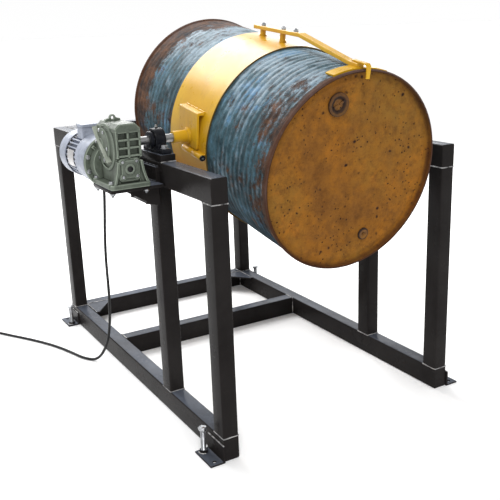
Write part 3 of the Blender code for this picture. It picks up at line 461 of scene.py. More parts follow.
def frame_paint():
    """Black gloss paint on drawn tube, with thin dust, a few fine rubs along the tubes and a painted bluish
    sheen on the upward faces.
    """
    f = Finish("frame_paint", 0.3, specular=0.5)
    f.shader.inputs["IOR"].default_value = 1.11
    facing = f.node("ShaderNodeNewGeometry", {}).outputs["Normal"]
    upward = f.ramp(f.node("ShaderNodeSeparateXYZ", {"Vector": facing}).outputs["Z"],
                    [(0.8, 0.0), (0.97, 1.0)])
    tone = f.ramp(f.noise(4, 6), [(0.35, (0.0115, 0.01, 0.0098)), (0.68, (0.02, 0.018, 0.0175))])
    dust = f.ramp(f.noise(9, 9, 0.7), [(0.48, 0.0), (0.9, 0.5)])
    tone = f.mix(dust, tone, (0.026, 0.024, 0.023))
    # upward faces get a bluish film: dust, together with painted sheen in place of the surroundings'
    # reflection
    dust_and_sheen = f.sum("MULTIPLY", upward, f.ramp(f.noise(5, 8, 0.7, f.scaled((1, 0.5, 1))),
                                               [(0.3, 0.25), (0.7, 0.95)]))
    tone = f.mix(dust_and_sheen, tone, (0.105, 0.12, 0.152))
    scratch = f.ramp(f.noise(170, 3, 0.5, f.scaled((1, 0.05, 0.05))), [(0.71, 0.0), (0.8, 0.22)])
    f.colour(f.mix(scratch, tone, (0.06, 0.06, 0.066)))
    f.rough(f.ramp(f.noise(10, 8, 0.65), [(0.3, 0.17), (0.75, 0.34)]))
    under = f.bump(f.noise(7, 2), 0.003, 0.1)
    f.bump(f.noise(420, 2), 0.0002, 0.2, under)
    return f.material


def weld_metal():
    """Painted-over weld beads, bright where the paint is rubbed off their crowns."""
    f = Finish("weld_bead", 0.38, 0.3, specular=0.4)
    f.colour(f.ramp(f.noise(38, 5, 0.7), [(0.38, (0.02, 0.019, 0.02)), (0.5, (0.26, 0.255, 0.255)),
                                          (0.64, (0.52, 0.51, 0.5))]))
    f.rough(f.ramp(f.noise(160, 4), [(0.3, 0.3), (0.7, 0.5)]))
    f.bump(f.noise(900, 3), 0.0002, 0.5)
    return f.material


def band_paint(name, edges=()):
    """Gloss yellow enamel, warm in the thin places, with grime and pinhead chips, painted shade darkening it
    towards the bottom and painted shadow lines along the band's edges.
    """
    f = Finish(name, 0.3, specular=0.5)
    f.shader.inputs["IOR"].default_value = 1.36
    tone = f.ramp(f.noise(5, 5, 0.6), [(0.3, (0.5, 0.262, 0.008)), (0.55, (0.6, 0.345, 0.014)),
                                       (0.8, (0.66, 0.4, 0.028))])
    grime = f.ramp(f.noise(24, 9, 0.72, f.scaled((1, 1, 0.5))), [(0.54, 0.0), (0.88, 0.65)])
    tone = f.mix(grime, tone, (0.24, 0.115, 0.015))
    # painted shade: darker brown towards the bottom of the piece
    low = f.ramp(f.sum("MULTIPLY", f.axis("Z"), -8.0), [(0.0, 0.0), (0.8, 0.9)])
    tone = f.mix(low, tone, (0.31, 0.12, 0.005))
    # painted shadow: a thin dark line along each band edge, where the band meets the drum
    for edge in edges:
        gap = f.sum("ABSOLUTE", f.sum("SUBTRACT", f.axis("Y"), edge), 0.0)
        gap = f.sum("ADD", gap, f.sum("MULTIPLY", f.noise(40, 4), 0.002))
        tone = f.mix(f.ramp(f.sum("MULTIPLY", gap, 100.0), [(0.22, 0.9), (0.34, 0.0)]), tone,
                     (0.055, 0.04, 0.012))
    chips = f.sum("MULTIPLY", f.ramp(f.cells(85), [(0.1, 1.0), (0.14, 0.0)]),
                  f.ramp(f.noise(9, 3), [(0.58, 0.0), (0.66, 1.0)]))
    f.colour(f.mix(chips, tone, (0.07, 0.035, 0.015)))
    f.rough(f.mix(low, f.ramp(f.noise(30, 7, 0.7), [(0.3, 0.24), (0.8, 0.42)]), 1.0))
    under = f.bump(f.noise(9, 3), 0.004, 0.16)
    f.bump(f.noise(380, 3), 0.0002, 0.3, under)
    return f.material


def bright_steel(name, low, high, grain, roughness):
    """Bare or zinc-plated steel with fine marks and a little tarnish."""
    f = Finish(name, roughness, 0.92)
    tone = f.ramp(f.noise(45, 6, 0.65), [(0.25, low), (0.7, high)])
    dirt = f.ramp(f.noise(120, 8, 0.75), [(0.55, 0.0), (0.8, 0.65)])
    f.colour(f.mix(dirt, tone, tuple(0.35 * c for c in low)))
    f.rough(f.ramp(f.noise(80, 6), [(0.25, roughness - 0.08), (0.75, roughness + 0.14)]))
    f.bump(f.noise(600, 3, 0.6, f.scaled(grain)), 0.0001, 0.5)
    return f.material


def cast_paint(name, dark, light, grime, roughness=0.42, grain=230, wear_highlight_and_cavity_shade=0.0):
    """Thick paint over sand-cast metal with patchy grime; hollows darkened as grime and painted shade, sharp
    edges paled as worn paint and painted highlight.
    """
    f = Finish(name, roughness, specular=0.5)
    f.shader.inputs["IOR"].default_value = 1.22
    tone = f.ramp(f.noise(12, 6, 0.6), [(0.3, dark), (0.7, light)])
    dirt = f.ramp(f.noise(34, 9, 0.75), [(0.48, 0.0), (0.78, 0.8)])
    tone = f.mix(dirt, tone, grime)
    sharp = f.node("ShaderNodeNewGeometry", {}).outputs["Pointiness"]
    # hollows: grime together with painted shade; sharp edges: worn paint together with painted highlight
    tone = f.mix(f.ramp(sharp, [(0.46, wear_highlight_and_cavity_shade), (0.494, 0.0)]), tone, grime)
    f.colour(f.mix(f.ramp(sharp, [(0.506, 0.0), (0.535, wear_highlight_and_cavity_shade)]), tone, tuple(2.0 * c for c in light)))
    f.rough(f.ramp(f.noise(55, 6, 0.7), [(0.3, roughness - 0.12), (0.75, roughness + 0.14)]))
    under = f.bump(f.noise(grain, 5, 0.6), 0.0006, 0.45)
    f.bump(f.noise(38, 3), 0.002, 0.12, under)
    return f.material


RIB_PITCH = 0.0245


def drum_paint():
    """Faded blue drum paint, rusting in patches, with painted light: paler on the rib crowns and over the top
    as painted highlight, darker between the ribs as grime and painted shade, and darker underneath as painted
    shade.
    """
    f = Finish("drum_paint", 0.45, specular=0.5)
    f.shader.inputs["IOR"].default_value = 1.17
    along = f.axis("Y")
    reach = f.sum("ABSOLUTE", along, 0.0)
    stretched = f.scaled((1.0, 1.25, 1.0))
    blue = f.ramp(f.noise(7.0, 10, 0.8, stretched), [(0.36, (0.014, 0.026, 0.034)),
                                                     (0.45, (0.042, 0.082, 0.1)), (0.54, (0.08, 0.16, 0.2)),
                                                     (0.64, (0.15, 0.33, 0.55))])
    # valleys between the rolled ribs are darkened, partly grime and partly painted shade; 0 on a crown, 1 in
    # a valley
    turn = f.sum("MULTIPLY", f.sum("SUBTRACT", reach, WALL_END), 2 * math.pi / RIB_PITCH)
    valley = f.sum("ADD", f.sum("MULTIPLY", f.sum("COSINE", turn, 0.0), -0.5), 0.5)
    grime = f.sum("MULTIPLY", valley, f.ramp(f.noise(4.5, 10, 0.8), [(0.38, 0.0), (0.62, 0.8)]))
    blue = f.mix(grime, blue, (0.024, 0.025, 0.024))
    # painted highlight: the paint gets paler over the upper part of the drum
    painted_top_highlight = f.ramp(f.axis("Z"), [(0.1, 0.0), (0.28, 0.16)])
    front = f.ramp(f.sum("ADD", along, 0.5), [(0.45, 0.1), (0.6, 0.03)])
    # painted highlight: rib crowns paler, mostly towards the front
    crown = f.sum("MULTIPLY", f.sum("SUBTRACT", 0.55, valley), front)
    chalk_and_painted_highlight_level = f.sum("ADD", f.noise(10, 10, 0.75, f.scaled((1.0, 1.3, 1.0))), f.sum("ADD", painted_top_highlight, crown))
    chalk_and_painted_highlight = f.ramp(chalk_and_painted_highlight_level, [(0.55, 0.0), (0.7, 0.75)])
    blue = f.mix(chalk_and_painted_highlight, blue, (0.28, 0.37, 0.44))
    # painted shade: the underside is darkened towards navy
    painted_underside_shade = f.sum("MULTIPLY", f.ramp(f.sum("MULTIPLY", f.axis("Z"), -5.0), [(0.0, 0.15), (0.8, 0.9)]),
                   f.ramp(f.noise(6, 6, 0.6), [(0.3, 0.6), (0.65, 1.0)]))
    blue = f.mix(painted_underside_shade, blue, (0.006, 0.013, 0.02))
    rust = f.ramp(f.noise(20, 10, 0.78), [(0.32, (0.012, 0.008, 0.007)), (0.45, (0.042, 0.022, 0.014)),
                                         (0.57, (0.11, 0.05, 0.025)), (0.72, (0.24, 0.11, 0.052))])
    rust = f.mix(f.ramp(reach, [(0.423, 0.0), (0.43, 0.85)]), rust, (0.074, 0.025, 0.008))
    near_end = f.ramp(reach, [(0.28, 0.0), (0.415, 0.095), (0.434, 0.4)])
    back = f.ramp(along, [(0.16, 0.0), (0.42, 0.1)])
    streak = f.sum("MULTIPLY", f.noise(9.0, 10, 0.8, f.scaled((1.0, 1.5, 1.0))), 0.6)
    patch = f.sum("MULTIPLY", f.noise(3.4, 10, 0.78), 0.6)
    worn = f.sum("ADD", f.sum("ADD", streak, patch), f.sum("ADD", near_end, back))
    mask = f.ramp(worn, [(0.645, 0.0), (0.7, 0.9)])
    speck = f.ramp(f.noise(46, 10, 0.82), [(0.57, 0.0), (0.64, 0.9)])
    mask = f.sum("MAXIMUM", mask, speck)
    # painted shade: the underside is darkened once more, rust included
    f.colour(f.mix(f.sum("MULTIPLY", painted_underside_shade, 0.25), f.mix(mask, blue, rust), (0.01, 0.009, 0.008)))
    gloss = f.mix(painted_underside_shade, f.ramp(f.noise(40, 6), [(0.3, 0.34), (0.8, 0.56)]), 1.0)
    f.rough(f.mix(mask, gloss, 0.8))
    under = f.bump(f.sum("SUBTRACT", f.noise(110, 9, 0.8), f.sum("MULTIPLY", mask, 0.5)), 0.001, 0.7)
    f.bump(f.noise(14, 5, 0.6), 0.003, 0.35, under)
    return f.material


def radius_from(f, across):
    """How far a point is from the piece's own axis."""
    level = f.node("ShaderNodeVectorMath", {0: f.place, 1: across}, operation="MULTIPLY").outputs[0]
    return f.node("ShaderNodeVectorMath", {0: level}, operation="LENGTH").outputs["Value"]


def ochre_rust(f):
    """Even ochre rust, mottled, with scattered dark pits; returns its colour and the pits."""
    base = f.ramp(f.noise(5, 10, 0.74), [(0.3, (0.12, 0.046, 0.009)), (0.43, (0.2, 0.082, 0.014)),
                                         (0.56, (0.27, 0.104, 0.012)), (0.7, (0.42, 0.13, 0.009))])
    olive = f.ramp(f.noise(2.6, 5, 0.6), [(0.44, 0.0), (0.62, 0.5)])
    base = f.mix(olive, base, (0.15, 0.1, 0.023))
    mottled = f.ramp(f.noise(38, 10, 0.82), [(0.34, 0.7), (0.54, 0.0)])
    tone = f.mix(mottled, base, (0.078, 0.033, 0.01))
    place = f.node("ShaderNodeVectorMath", {0: f.place, 1: f.node("ShaderNodeVectorMath", {
        0: f.node("ShaderNodeTexNoise", {"Vector": f.place, "Scale": 40.0, "Detail": 3.0}).outputs[1],
        1: (0.012, 0.012, 0.012)}, operation="MULTIPLY").outputs[0]}, operation="ADD").outputs[0]
    big = f.sum("MULTIPLY", f.ramp(f.cells(26, place), [(0.075, 1.0), (0.18, 0.0)]),
                f.ramp(f.noise(4.4, 4, 0.6), [(0.4, 0.0), (0.47, 1.0)]))
    small = f.sum("MULTIPLY", f.ramp(f.cells(70, place), [(0.1, 1.0), (0.24, 0.0)]),
                  f.ramp(f.noise(6.5, 4, 0.6), [(0.44, 0.0), (0.54, 1.0)]))
    spots = f.sum("MAXIMUM", big, small)
    return f.mix(spots, tone, (0.02, 0.01, 0.007)), spots


def head_rust():
    """The drum ends: ochre rust, browner towards the rim."""
    f = Finish("drum_head_rust", 0.74, specular=0.07)
    tone, spots = ochre_rust(f)
    ring = f.sum("ADD", radius_from(f, (1.0, 0.0, 1.0)), f.sum("MULTIPLY", f.noise(9, 6, 0.6), 0.018))
    tone = f.mix(f.ramp(ring, [(0.286, 0.0), (0.296, 0.85)]), tone, (0.038, 0.014, 0.008))
    finish_rust(f, tone, spots)
    return f.material


def bung_rust():
    """The bungs: ochre in the middle, with painted shade making the recess and the lip's edge nearly black.
    """
    f = Finish("bung_rust", 0.62, specular=0.25)
    tone, spots = ochre_rust(f)
    ring = f.sum("ADD", radius_from(f, (1.0, 1.0, 0.0)), f.sum("MULTIPLY", f.noise(60, 6, 0.7), 0.008))
    # painted shade: near-black rings at the recess and at the lip's outer edge
    dark = f.ramp(f.sum("MULTIPLY", ring, 20.0), [(0.34, 0.3), (0.41, 0.96), (0.54, 0.93), (0.6, 0.6),
                                                  (0.7, 0.62), (0.76, 0.96)])
    finish_rust(f, f.mix(dark, tone, (0.016, 0.008, 0.006)), spots)
    return f.material


def finish_rust(f, tone, spots):
    f.colour(tone)
    f.rough(f.ramp(f.noise(25, 6), [(0.3, 0.6), (0.75, 0.86)]))
    under = f.bump(f.sum("SUBTRACT", f.noise(120, 9, 0.8), f.sum("MULTIPLY", spots, 1.2)), 0.001, 0.6)
    f.bump(f.noise(12, 4, 0.6), 0.003, 0.22, under)


def plastic(name, dark, light, roughness, grain=500, bump=0.25, specular=0.4):
    f = Finish(name, roughness, specular=specular)
    f.colour(f.ramp(f.noise(30, 6, 0.65), [(0.3, dark), (0.75, light)]))
    f.rough(f.ramp(f.noise(90, 5), [(0.3, roughness - 0.07), (0.75, roughness + 0.1)]))
    f.bump(f.noise(grain, 3), 0.0002, bump)
    return f.material


FRAME = frame_paint()
WELD = weld_metal()
YELLOW = band_paint("band_paint")
BAND = band_paint("band_sheet_paint", (-0.105, 0.14))
SHAFT = bright_steel("turned_steel", (0.22, 0.22, 0.22), (0.46, 0.46, 0.46), (4, 0.2, 0.2), 0.3)
ZINC = bright_steel("zinc_steel", (0.24, 0.25, 0.26), (0.52, 0.53, 0.55), (1, 1, 1), 0.3)
# the gearbox gets painted shade in its hollows and painted highlight on its sharp edges, along with grime and
# worn paint
GREEN = cast_paint("gearbox_paint", (0.078, 0.094, 0.073), (0.138, 0.16, 0.13), (0.026, 0.029, 0.022),
                   wear_highlight_and_cavity_shade=0.85)
# a paler copy of the gearbox paint: painted highlight for the side cover's rib
HIGHLIT_GREEN = cast_paint("gearbox_paint_painted_highlight", (0.21, 0.235, 0.19), (0.36, 0.39, 0.33), (0.07, 0.08, 0.06))
GREY = cast_paint("motor_paint", (0.235, 0.262, 0.32), (0.36, 0.39, 0.465), (0.095, 0.098, 0.115), 0.36, 300)
BLACK_CAST = cast_paint("bearing_paint", (0.0055, 0.006, 0.008), (0.013, 0.014, 0.019), (0.03, 0.028, 0.027),
                        0.3)
DRUM = drum_paint()
HEAD = head_rust()
BUNG = bung_rust()
CREAM = plastic("cream_plastic", (0.5, 0.49, 0.41), (0.66, 0.65, 0.58), 0.38)
RUBBER = plastic("cord_rubber", (0.0045, 0.0045, 0.005), (0.01, 0.01, 0.011), 0.42, 700, 0.35, 0.25)
BLACK = plastic("black_plastic", (0.005, 0.005, 0.0055), (0.013, 0.013, 0.014), 0.4, specular=0.3)
BRONZE = bright_steel("gear_bronze", (0.3, 0.17, 0.05), (0.5, 0.32, 0.11), (1, 1, 1), 0.34)
IRON = bright_steel("laminated_iron", (0.08, 0.08, 0.09), (0.18, 0.18, 0.19), (0.3, 6, 0.3), 0.5)
PLATE = bright_steel("plain_nameplate", (0.42, 0.41, 0.41), (0.6, 0.59, 0.59), (0.3, 4, 1), 0.38)


# ---- frame ----------------------------------------------------------------------------------------
def add_bar(shape, low, high, axis, radius=0.005, end=0.0014):
    """A rectangular tube along an axis (0, 1 or 2), with rounded long edges and closed ends."""
    low, high = Vector(low), Vector(high)
    first, second = ((1, 2), (0, 2), (0, 1))[axis]
    size, middle = high - low, (low + high) / 2
    rings = []
    for spot, inset in ((low[axis], end), (low[axis] + end, 0), (high[axis] - end, 0), (high[axis], end)):
        ring = []
        for a, b in rounded(size[first] - 2 * inset, size[second] - 2 * inset, radius):
            point = Vector((0, 0, 0))
            point[first], point[second], point[axis] = middle[first] + a, middle[second] + b, spot
            ring.append(point)
        rings.append(ring)
    add_loft(shape, rings)


def outline_of(low, high, axis, spot, out=0.0004):
    """The four corners round a tube's section, for a weld bead."""
    first, second = ((1, 2), (0, 2), (0, 1))[axis]
    corners = []
    for a, b in ((0, 0), (1, 0), (1, 1), (0, 1)):
        point = Vector((0, 0, 0))
        point[first] = (low[first] - out, high[first] + out)[a]
        point[second] = (low[second] - out, high[second] + out)[b]
        point[axis] = spot
        corners.append(point)
    return corners


def side_frame(side, x_low, welds):
    x_high = x_low + TUBE_WIDTH
    for level, z_low in (("bottom", 0.0), ("top", FRAME_HEIGHT - RAIL_DEPTH)):
        shape = bmesh.new()
        add_bar(shape, (x_low, 0, z_low), (x_high, FRAME_LENGTH, z_low + RAIL_DEPTH), 1)
        if level == "top":
            base = FRAME_HEIGHT - 0.0005
            add_box(shape, (x_low + 0.001, PIVOT_Y - 0.075, base), (x_high - 0.001, PIVOT_Y + 0.075, 0.8512),
                    bevel=0.0015)
            add_weld(welds, [(x_low + 0.0012, PIVOT_Y - 0.0755, FRAME_HEIGHT),
                             (x_high - 0.0012, PIVOT_Y - 0.0755, FRAME_HEIGHT)], 0.0026)
            add_weld(welds, [(x_low + 0.0012, PIVOT_Y + 0.0755, FRAME_HEIGHT),
                             (x_high - 0.0012, PIVOT_Y + 0.0755, FRAME_HEIGHT)], 0.0026)
        piece(f"{side}_{level}_rail_tube", shape, FRAME, "frame", stands_for=[f"{side}_{level}_rail"])
    for name, y in (("front", 0.0), ("middle", 0.357), ("rear", FRAME_LENGTH - UPRIGHT_DEPTH)):
        low = (x_low, y, RAIL_DEPTH + GAP)
        high = (x_high, y + UPRIGHT_DEPTH, FRAME_HEIGHT - RAIL_DEPTH - GAP)
        shape = bmesh.new()
        add_bar(shape, low, high, 2, end=0.0008)
        piece(f"{side}_{name}_upright_tube", shape, FRAME, "frame", stands_for=[f"{side}_{name}_upright"])
        for spot in (RAIL_DEPTH, FRAME_HEIGHT - RAIL_DEPTH):
            add_weld(welds, outline_of(low, high, 2, spot, -0.0006), 0.0019, True)


def cross_beam(node, y_low, z_low, welds, gussets=False):
    x_low, x_high = TUBE_WIDTH + GAP, FRAME_WIDTH - TUBE_WIDTH - GAP
    low, high = (x_low, y_low, z_low), (x_high, y_low + TUBE_WIDTH, z_low + RAIL_DEPTH)
    shape = bmesh.new()
    add_bar(shape, low, high, 0, end=0.0008)
    for spot in (x_low, x_high):
        corners = outline_of(low, high, 0, spot, -0.0006)
        if z_low:
            add_weld(welds, corners, 0.0022, True)
        else:
            foot_of = [Vector((spot, corner.y, 0.003)) for corner in corners[:2]]
            add_weld(welds, [foot_of[0], corners[3], corners[2], foot_of[1]], 0.0022)
    if gussets:
        top = z_low + RAIL_DEPTH - 0.0004
        for corner, way in ((x_low + 0.0004, 1), (x_high - 0.0004, -1)):
            outline = [(corner, y_low + 0.004), (corner, y_low - 0.12), (corner + way * 0.012, y_low - 0.12),
                       (corner + way * 0.1, y_low - 0.012), (corner + way * 0.1, y_low + 0.004)]
            add_prism(shape, outline, top - 0.006, top, bevel=0.0005)
            add_weld(welds, [(corner + way * 0.0006, y_low - 0.119, top),
                             (corner + way * 0.0006, y_low - 0.002, top)], 0.0018)
            add_weld(welds, [(corner + way * 0.004, y_low, top), (corner + way * 0.099, y_low, top)], 0.0018)
    piece(node + "_tube", shape, FRAME, "frame", stands_for=[node])


def foot(name, side, y_low, bolt_y, hole_y, welds):
    """An angle-iron foot, its welded nut and its levelling bolt."""
    edge = 0.0 if side < 0 else FRAME_WIDTH
    bolt_x = edge + side * 0.027
    near, far, leg = edge + side * GAP, edge + side * 0.048, edge + side * 0.0053
    outline = [(near, 0.0), (far, 0.0), (far, 0.0044), (far - side * 0.0006, 0.005),
               (leg + side * 0.0035, 0.005), (leg + side * 0.001, 0.006), (leg, 0.0085), (leg, 0.0508),
               (leg - side * 0.0012, 0.052), (near, 0.052)]
    shape = bmesh.new()
    rings = [[(x, y, z) for x, z in outline] for y in (y_low, y_low + 0.1)]
    add_loft(shape, rings)
    holes = bmesh.new()
    add_turned(holes, [(0, 0.02), (0.0086, 0.02), (0.0086, -0.01), (0, -0.01)], shift(bolt_x, bolt_y, 0), 32)
    add_turned(holes, [(0, 0.02), (0.006, 0.02), (0.006, -0.01), (0, -0.01)], shift(bolt_x, hole_y, 0), 28)
    plate = carved(to_mesh(shape), holes)
    piece(f"{name}_angle_foot", plate, FRAME, "frame", stands_for=[f"{name}_foot_plate"],
          crease=30)
    nut = bmesh.new()
    rings = [[(bolt_x + r * math.cos(math.pi / 3 * i), bolt_y + r * math.sin(math.pi / 3 * i), z)
              for i in range(6)] for r, z in ((0.0086, 0.0049), (0.0134, 0.0049), (0.0135, 0.0054),
                                              (0.0135, 0.0118), (0.0118, 0.013), (0.0086, 0.013))]
    add_loft(nut, rings, loop=True)
    piece(f"{name}_weld_nut", nut, FRAME, "frame", crease=28)
    top = 0.0526
    add_weld(welds, [(edge + side * 0.002, y_low + 0.002, top), (edge + side * 0.002, y_low + 0.098, top)],
             0.0021)
    add_weld(welds, [(bolt_x + 0.0142 * math.cos(a), bolt_y + 0.0142 * math.sin(a), 0.0055)
                     for a in (2.6, 2.9, 3.3, 3.7, 4.2, 4.7)], 0.0018)
    bolt = bmesh.new()
    spot = shift(bolt_x, bolt_y, 0)
    add_thread(bolt, spot, 0.008, 0.0006, 0.078, 0.002, sides=24)
    rings = []
    for z, scale in ((0.0772, 0.95), (0.078, 1.0), (0.0835, 1.0), (0.085, 0.96), (0.0862, 0.86)):
        rings.append([(0.0135 * scale * math.cos(math.pi / 3 * i + 0.4),
                       0.0135 * scale * math.sin(math.pi / 3 * i + 0.4), z) for i in range(6)])
    add_loft(bolt, rings, spot)
    add_turned(bolt, [(0, 0.0875), (0.004, 0.0874), (0.008, 0.0868), (0.011, 0.0855), (0.0116, 0.0845),
                      (0, 0.0845)], spot, 32)
    piece(f"{name}_levelling_bolt", bolt, ZINC, "frame", stands_for=[f"{name}_level_bolt"],
          crease=28)


def build_frame():
    welds = bmesh.new()
    side_frame("left", 0.0, welds)
    side_frame("right", FRAME_WIDTH - TUBE_WIDTH, welds)
    rear = FRAME_LENGTH - TUBE_WIDTH
    cross_beam("base_rear_beam", rear, 0.0, welds, True)
    cross_beam("base_middle_beam", 0.864, 0.0, welds)
    cross_beam("top_rear_beam", rear, FRAME_HEIGHT - RAIL_DEPTH, welds, True)
    for word, side in (("left", -1), ("right", 1)):
        foot(f"{word}_front", side, -0.006, 0.078, 0.011, welds)
        foot(f"{word}_rear", side, 1.286, 1.305, 1.369, welds)
    piece("frame_welds", welds, WELD, "frame", crease=60)


# ---- bearings -------------------------------------------------------------------------------------
def bearing(side, x_mid):
    rise, base = 0.0365, FRAME_HEIGHT + 0.0215
    ring = shift(0, 0, rise, ALONG_X)
    shape = bmesh.new()
    add_box(shape, (-0.0168, -0.0698, 0), (0.0168, 0.0698, 0.0125), bevel=0.003)
    for low, high in ((-0.068, -0.036), (0.036, 0.068)):
        add_box(shape, (-0.015, low, 0.008), (0.015, high, 0.015), bevel=0.003)
    add_box(shape, (-0.013, -0.034, 0.004), (0.013, 0.034, 0.026), bevel=0.004)
    add_box(shape, (-0.0055, -0.047, 0.008), (0.0055, 0.047, 0.024), bevel=0.003)
    add_turned(shape, [(0.0262, 0.0155), (0.028, 0.0169), (0.0332, 0.0169), (0.0344, 0.0155),
                       (0.0344, -0.0155), (0.0332, -0.0169), (0.028, -0.0169), (0.0262, -0.0155)], ring, 64)
    add_turned(shape, [(0, 0.0735 - rise), (0.005, 0.0735 - rise), (0.0058, 0.062 - rise), (0, 0.06 - rise)],
               shift(0, 0, rise), 24)
    body = fused(shape, 0.0011, 4)
    space = MACHINE @ Matrix.Translation((x_mid, PIVOT_Y, base))
    piece(f"{side}_pillow_block", body, BLACK_CAST, "frame", space, [f"{side}_bearing_housing"],
          180)
    bolts = bmesh.new()
    for y in (-0.0525, 0.0525):
        add_bolt(bolts, shift(0, y, 0.0146), 0.0058, stud=0.0)
    add_turned(bolts, [(0, 0.01), (0.0022, 0.01), (0.0026, 0.0075), (0.002, 0.006), (0.0036, 0.0055),
                       (0.0036, 0), (0, 0)], shift(0, 0, rise + 0.0335), 18)
    piece(f"{side}_bearing_bolts", bolts, ZINC, "frame", space, crease=28)
    space = MACHINE @ Matrix.Translation((x_mid, PIVOT_Y, PIVOT_Z)) @ ALONG_X
    insert = bmesh.new()
    add_turned(insert, [(SHAFT_RADIUS + GAP, 0.0168), (0.0172, 0.0168), (0.018, 0.016), (0.018, 0.0082),
                        (0.0205, 0.0078), (0.025, 0.008), (0.0257, 0.006), (0.0257, -0.006), (0.025, -0.008),
                        (0.0205, -0.0078), (0.018, -0.0082), (0.018, -0.016), (0.0172, -0.0168),
                        (SHAFT_RADIUS + GAP, -0.0168)], steps=64)
    for end in (-0.0125, 0.0125):
        for turn in (0.6, 2.7):
            add_turned(insert, [(0, 0.0192), (0.0022, 0.0192), (0.0026, 0.0172), (0.0026, 0.016), (0, 0.016)],
                       Matrix.Translation((0, 0, end)) @ Matrix.Rotation(turn, 4, "Z") @ ALONG_X, 14)
    piece(f"{side}_bearing_rings", insert, SHAFT, "cradle", space, [f"{side}_bearing_insert"],
          30)
    out = -1 if side == "left" else 1
    collar = bmesh.new()
    profile = [(SHAFT_RADIUS + GAP, 0.0172), (0.0245, 0.0172), (0.0262, 0.0184), (0.0262, 0.0262),
               (0.0245, 0.028), (0.019, 0.0284), (SHAFT_RADIUS + GAP, 0.0284)]
    add_turned(collar, [(r, out * z) for r, z in profile], steps=64)
    piece(f"{side}_bearing_collar", collar, BLACK_CAST, "cradle", space, crease=30)
    seal = bmesh.new()
    for way in (-1, 1):
        add_turned(seal, [(0.0184, way * 0.0084), (0.0225, way * 0.0092), (0.0246, way * 0.0084),
                          (0.0246, way * 0.0079), (0.0184, way * 0.0079)], steps=64)
    piece(f"{side}_bearing_seals", seal, BLACK, "cradle", space)


# ---- gearbox --------------------------------------------------------------------------------------
CASE_OUT, CASE_IN = -0.1405, -0.0665
XZ = Matrix(((1, 0, 0, 0), (0, 0, 1, 0), (0, 1, 0, 0), (0, 0, 0, 1)))
YZ = Matrix(((0, 0, 1, 0), (1, 0, 0, 0), (0, 1, 0, 0), (0, 0, 0, 1)))


FRONT_RIBS = (0.865, 0.8875, 0.91, 0.9325)


def gearbox_case():
    """The casting: a ribbed box with a capped roof, cover seats, flared feet and a lifting eye."""
    shape = bmesh.new()
    front = 0.3
    add_prism(shape, [(CASE_OUT, 0.781), (CASE_IN, 0.781), (CASE_IN, 0.9325), (-0.079, 0.951),
                      (-0.1275, 0.951), (CASE_OUT, 0.938)], front, 0.4395, XZ, 0.003)
    roof = [(CASE_OUT - 0.0015, 0.933), (CASE_IN + 0.0015, 0.933), (CASE_IN + 0.0015, 0.9405),
            (-0.08, 0.9555), (-0.1275, 0.9555), (CASE_OUT - 0.0015, 0.943)]
    add_prism(shape, roof, 0.287, 0.436, XZ, 0.0025)
    for z in FRONT_RIBS:
        add_box(shape, (CASE_OUT + 0.001, 0.2862, z - 0.0026), (CASE_IN - 0.001, front + 0.002, z + 0.0026),
                bevel=0.001)
    for x, half in ((CASE_OUT + 0.003, 0.003), (GEAR_X + 0.0025, 0.003), (CASE_IN - 0.003, 0.003)):
        add_box(shape, (x - half, 0.2862, 0.86), (x + half, front + 0.002, 0.937), bevel=0.001)
    add_prism(shape, rounded(0.064, 0.066, 0.012, centre=(GEAR_X + 0.001, WORM_Z - 0.002)), 0.2915,
              front + 0.003, XZ, 0.001)
    for x, way in ((CASE_OUT + 0.0035, -1), (CASE_IN - 0.0035, 1)):
        rings = []
        for z, reach in ((0.783, 0.017), (0.8, 0.011), (0.822, 0.005), (0.85, 0.0005)):
            rings.append([(x + way * reach + a, b, z) for a, b in ((-0.0036, 0.2845), (0.0036, 0.2845),
                                                                  (0.0036, 0.303), (-0.0036, 0.303))])
        add_loft(shape, rings)
        for y in (0.3, 0.425):
            rings = []
            for z, reach in ((0.783, 0.019), (0.803, 0.009), (0.832, 0.001)):
                rings.append([(x + a * way, y + b, z) for a, b in ((-0.004, -0.004), (reach, -0.004),
                                                                   (reach, 0.004), (-0.004, 0.004))])
            add_loft(shape, rings)
    add_prism(shape, rounded(0.1208, 0.1562, 0.009, centre=(-0.1055, 0.3613)), 0.7722, 0.7868, UP, 0.0018)
    for x in (-0.157, -0.054):
        for y in (0.304, 0.426):
            add_turned(shape, [(0, 0.7895), (0.0098, 0.7895), (0.0114, 0.787), (0.0114, 0.774), (0, 0.774)],
                       shift(x, y, 0), 28)
    seat = shift(CASE_OUT, 0.365, 0.886, ALONG_X.inverted())
    add_turned(shape, [(0.06, 0.005), (0.0655, 0.005), (0.068, 0.003), (0.068, -0.01), (0.06, -0.01)], seat,
               72)
    add_turned(shape, [(0, 0.0035), (0.0505, 0.0035), (0.0535, 0.0), (0.0535, -0.07), (0, -0.07)],
               shift(CASE_OUT, PIVOT_Y, PIVOT_Z, ALONG_X.inverted()), 64)
    add_turned(shape, [(0, 0.0045), (0.032, 0.0045), (0.0338, 0.0025), (0.0338, -0.02), (0, -0.02)],
               shift(CASE_IN, PIVOT_Y, PIVOT_Z, ALONG_X), 56)
    add_turned(shape, [(0, 0.4396), (0.06, 0.4396), (0.064, 0.436), (0.06, 0.415), (0, 0.415)],
               shift(GEAR_X, 0, WORM_Z, ALONG_Y), 64)
    add_lifting_eye(shape)
    return fused(shape, 0.00115, 3)


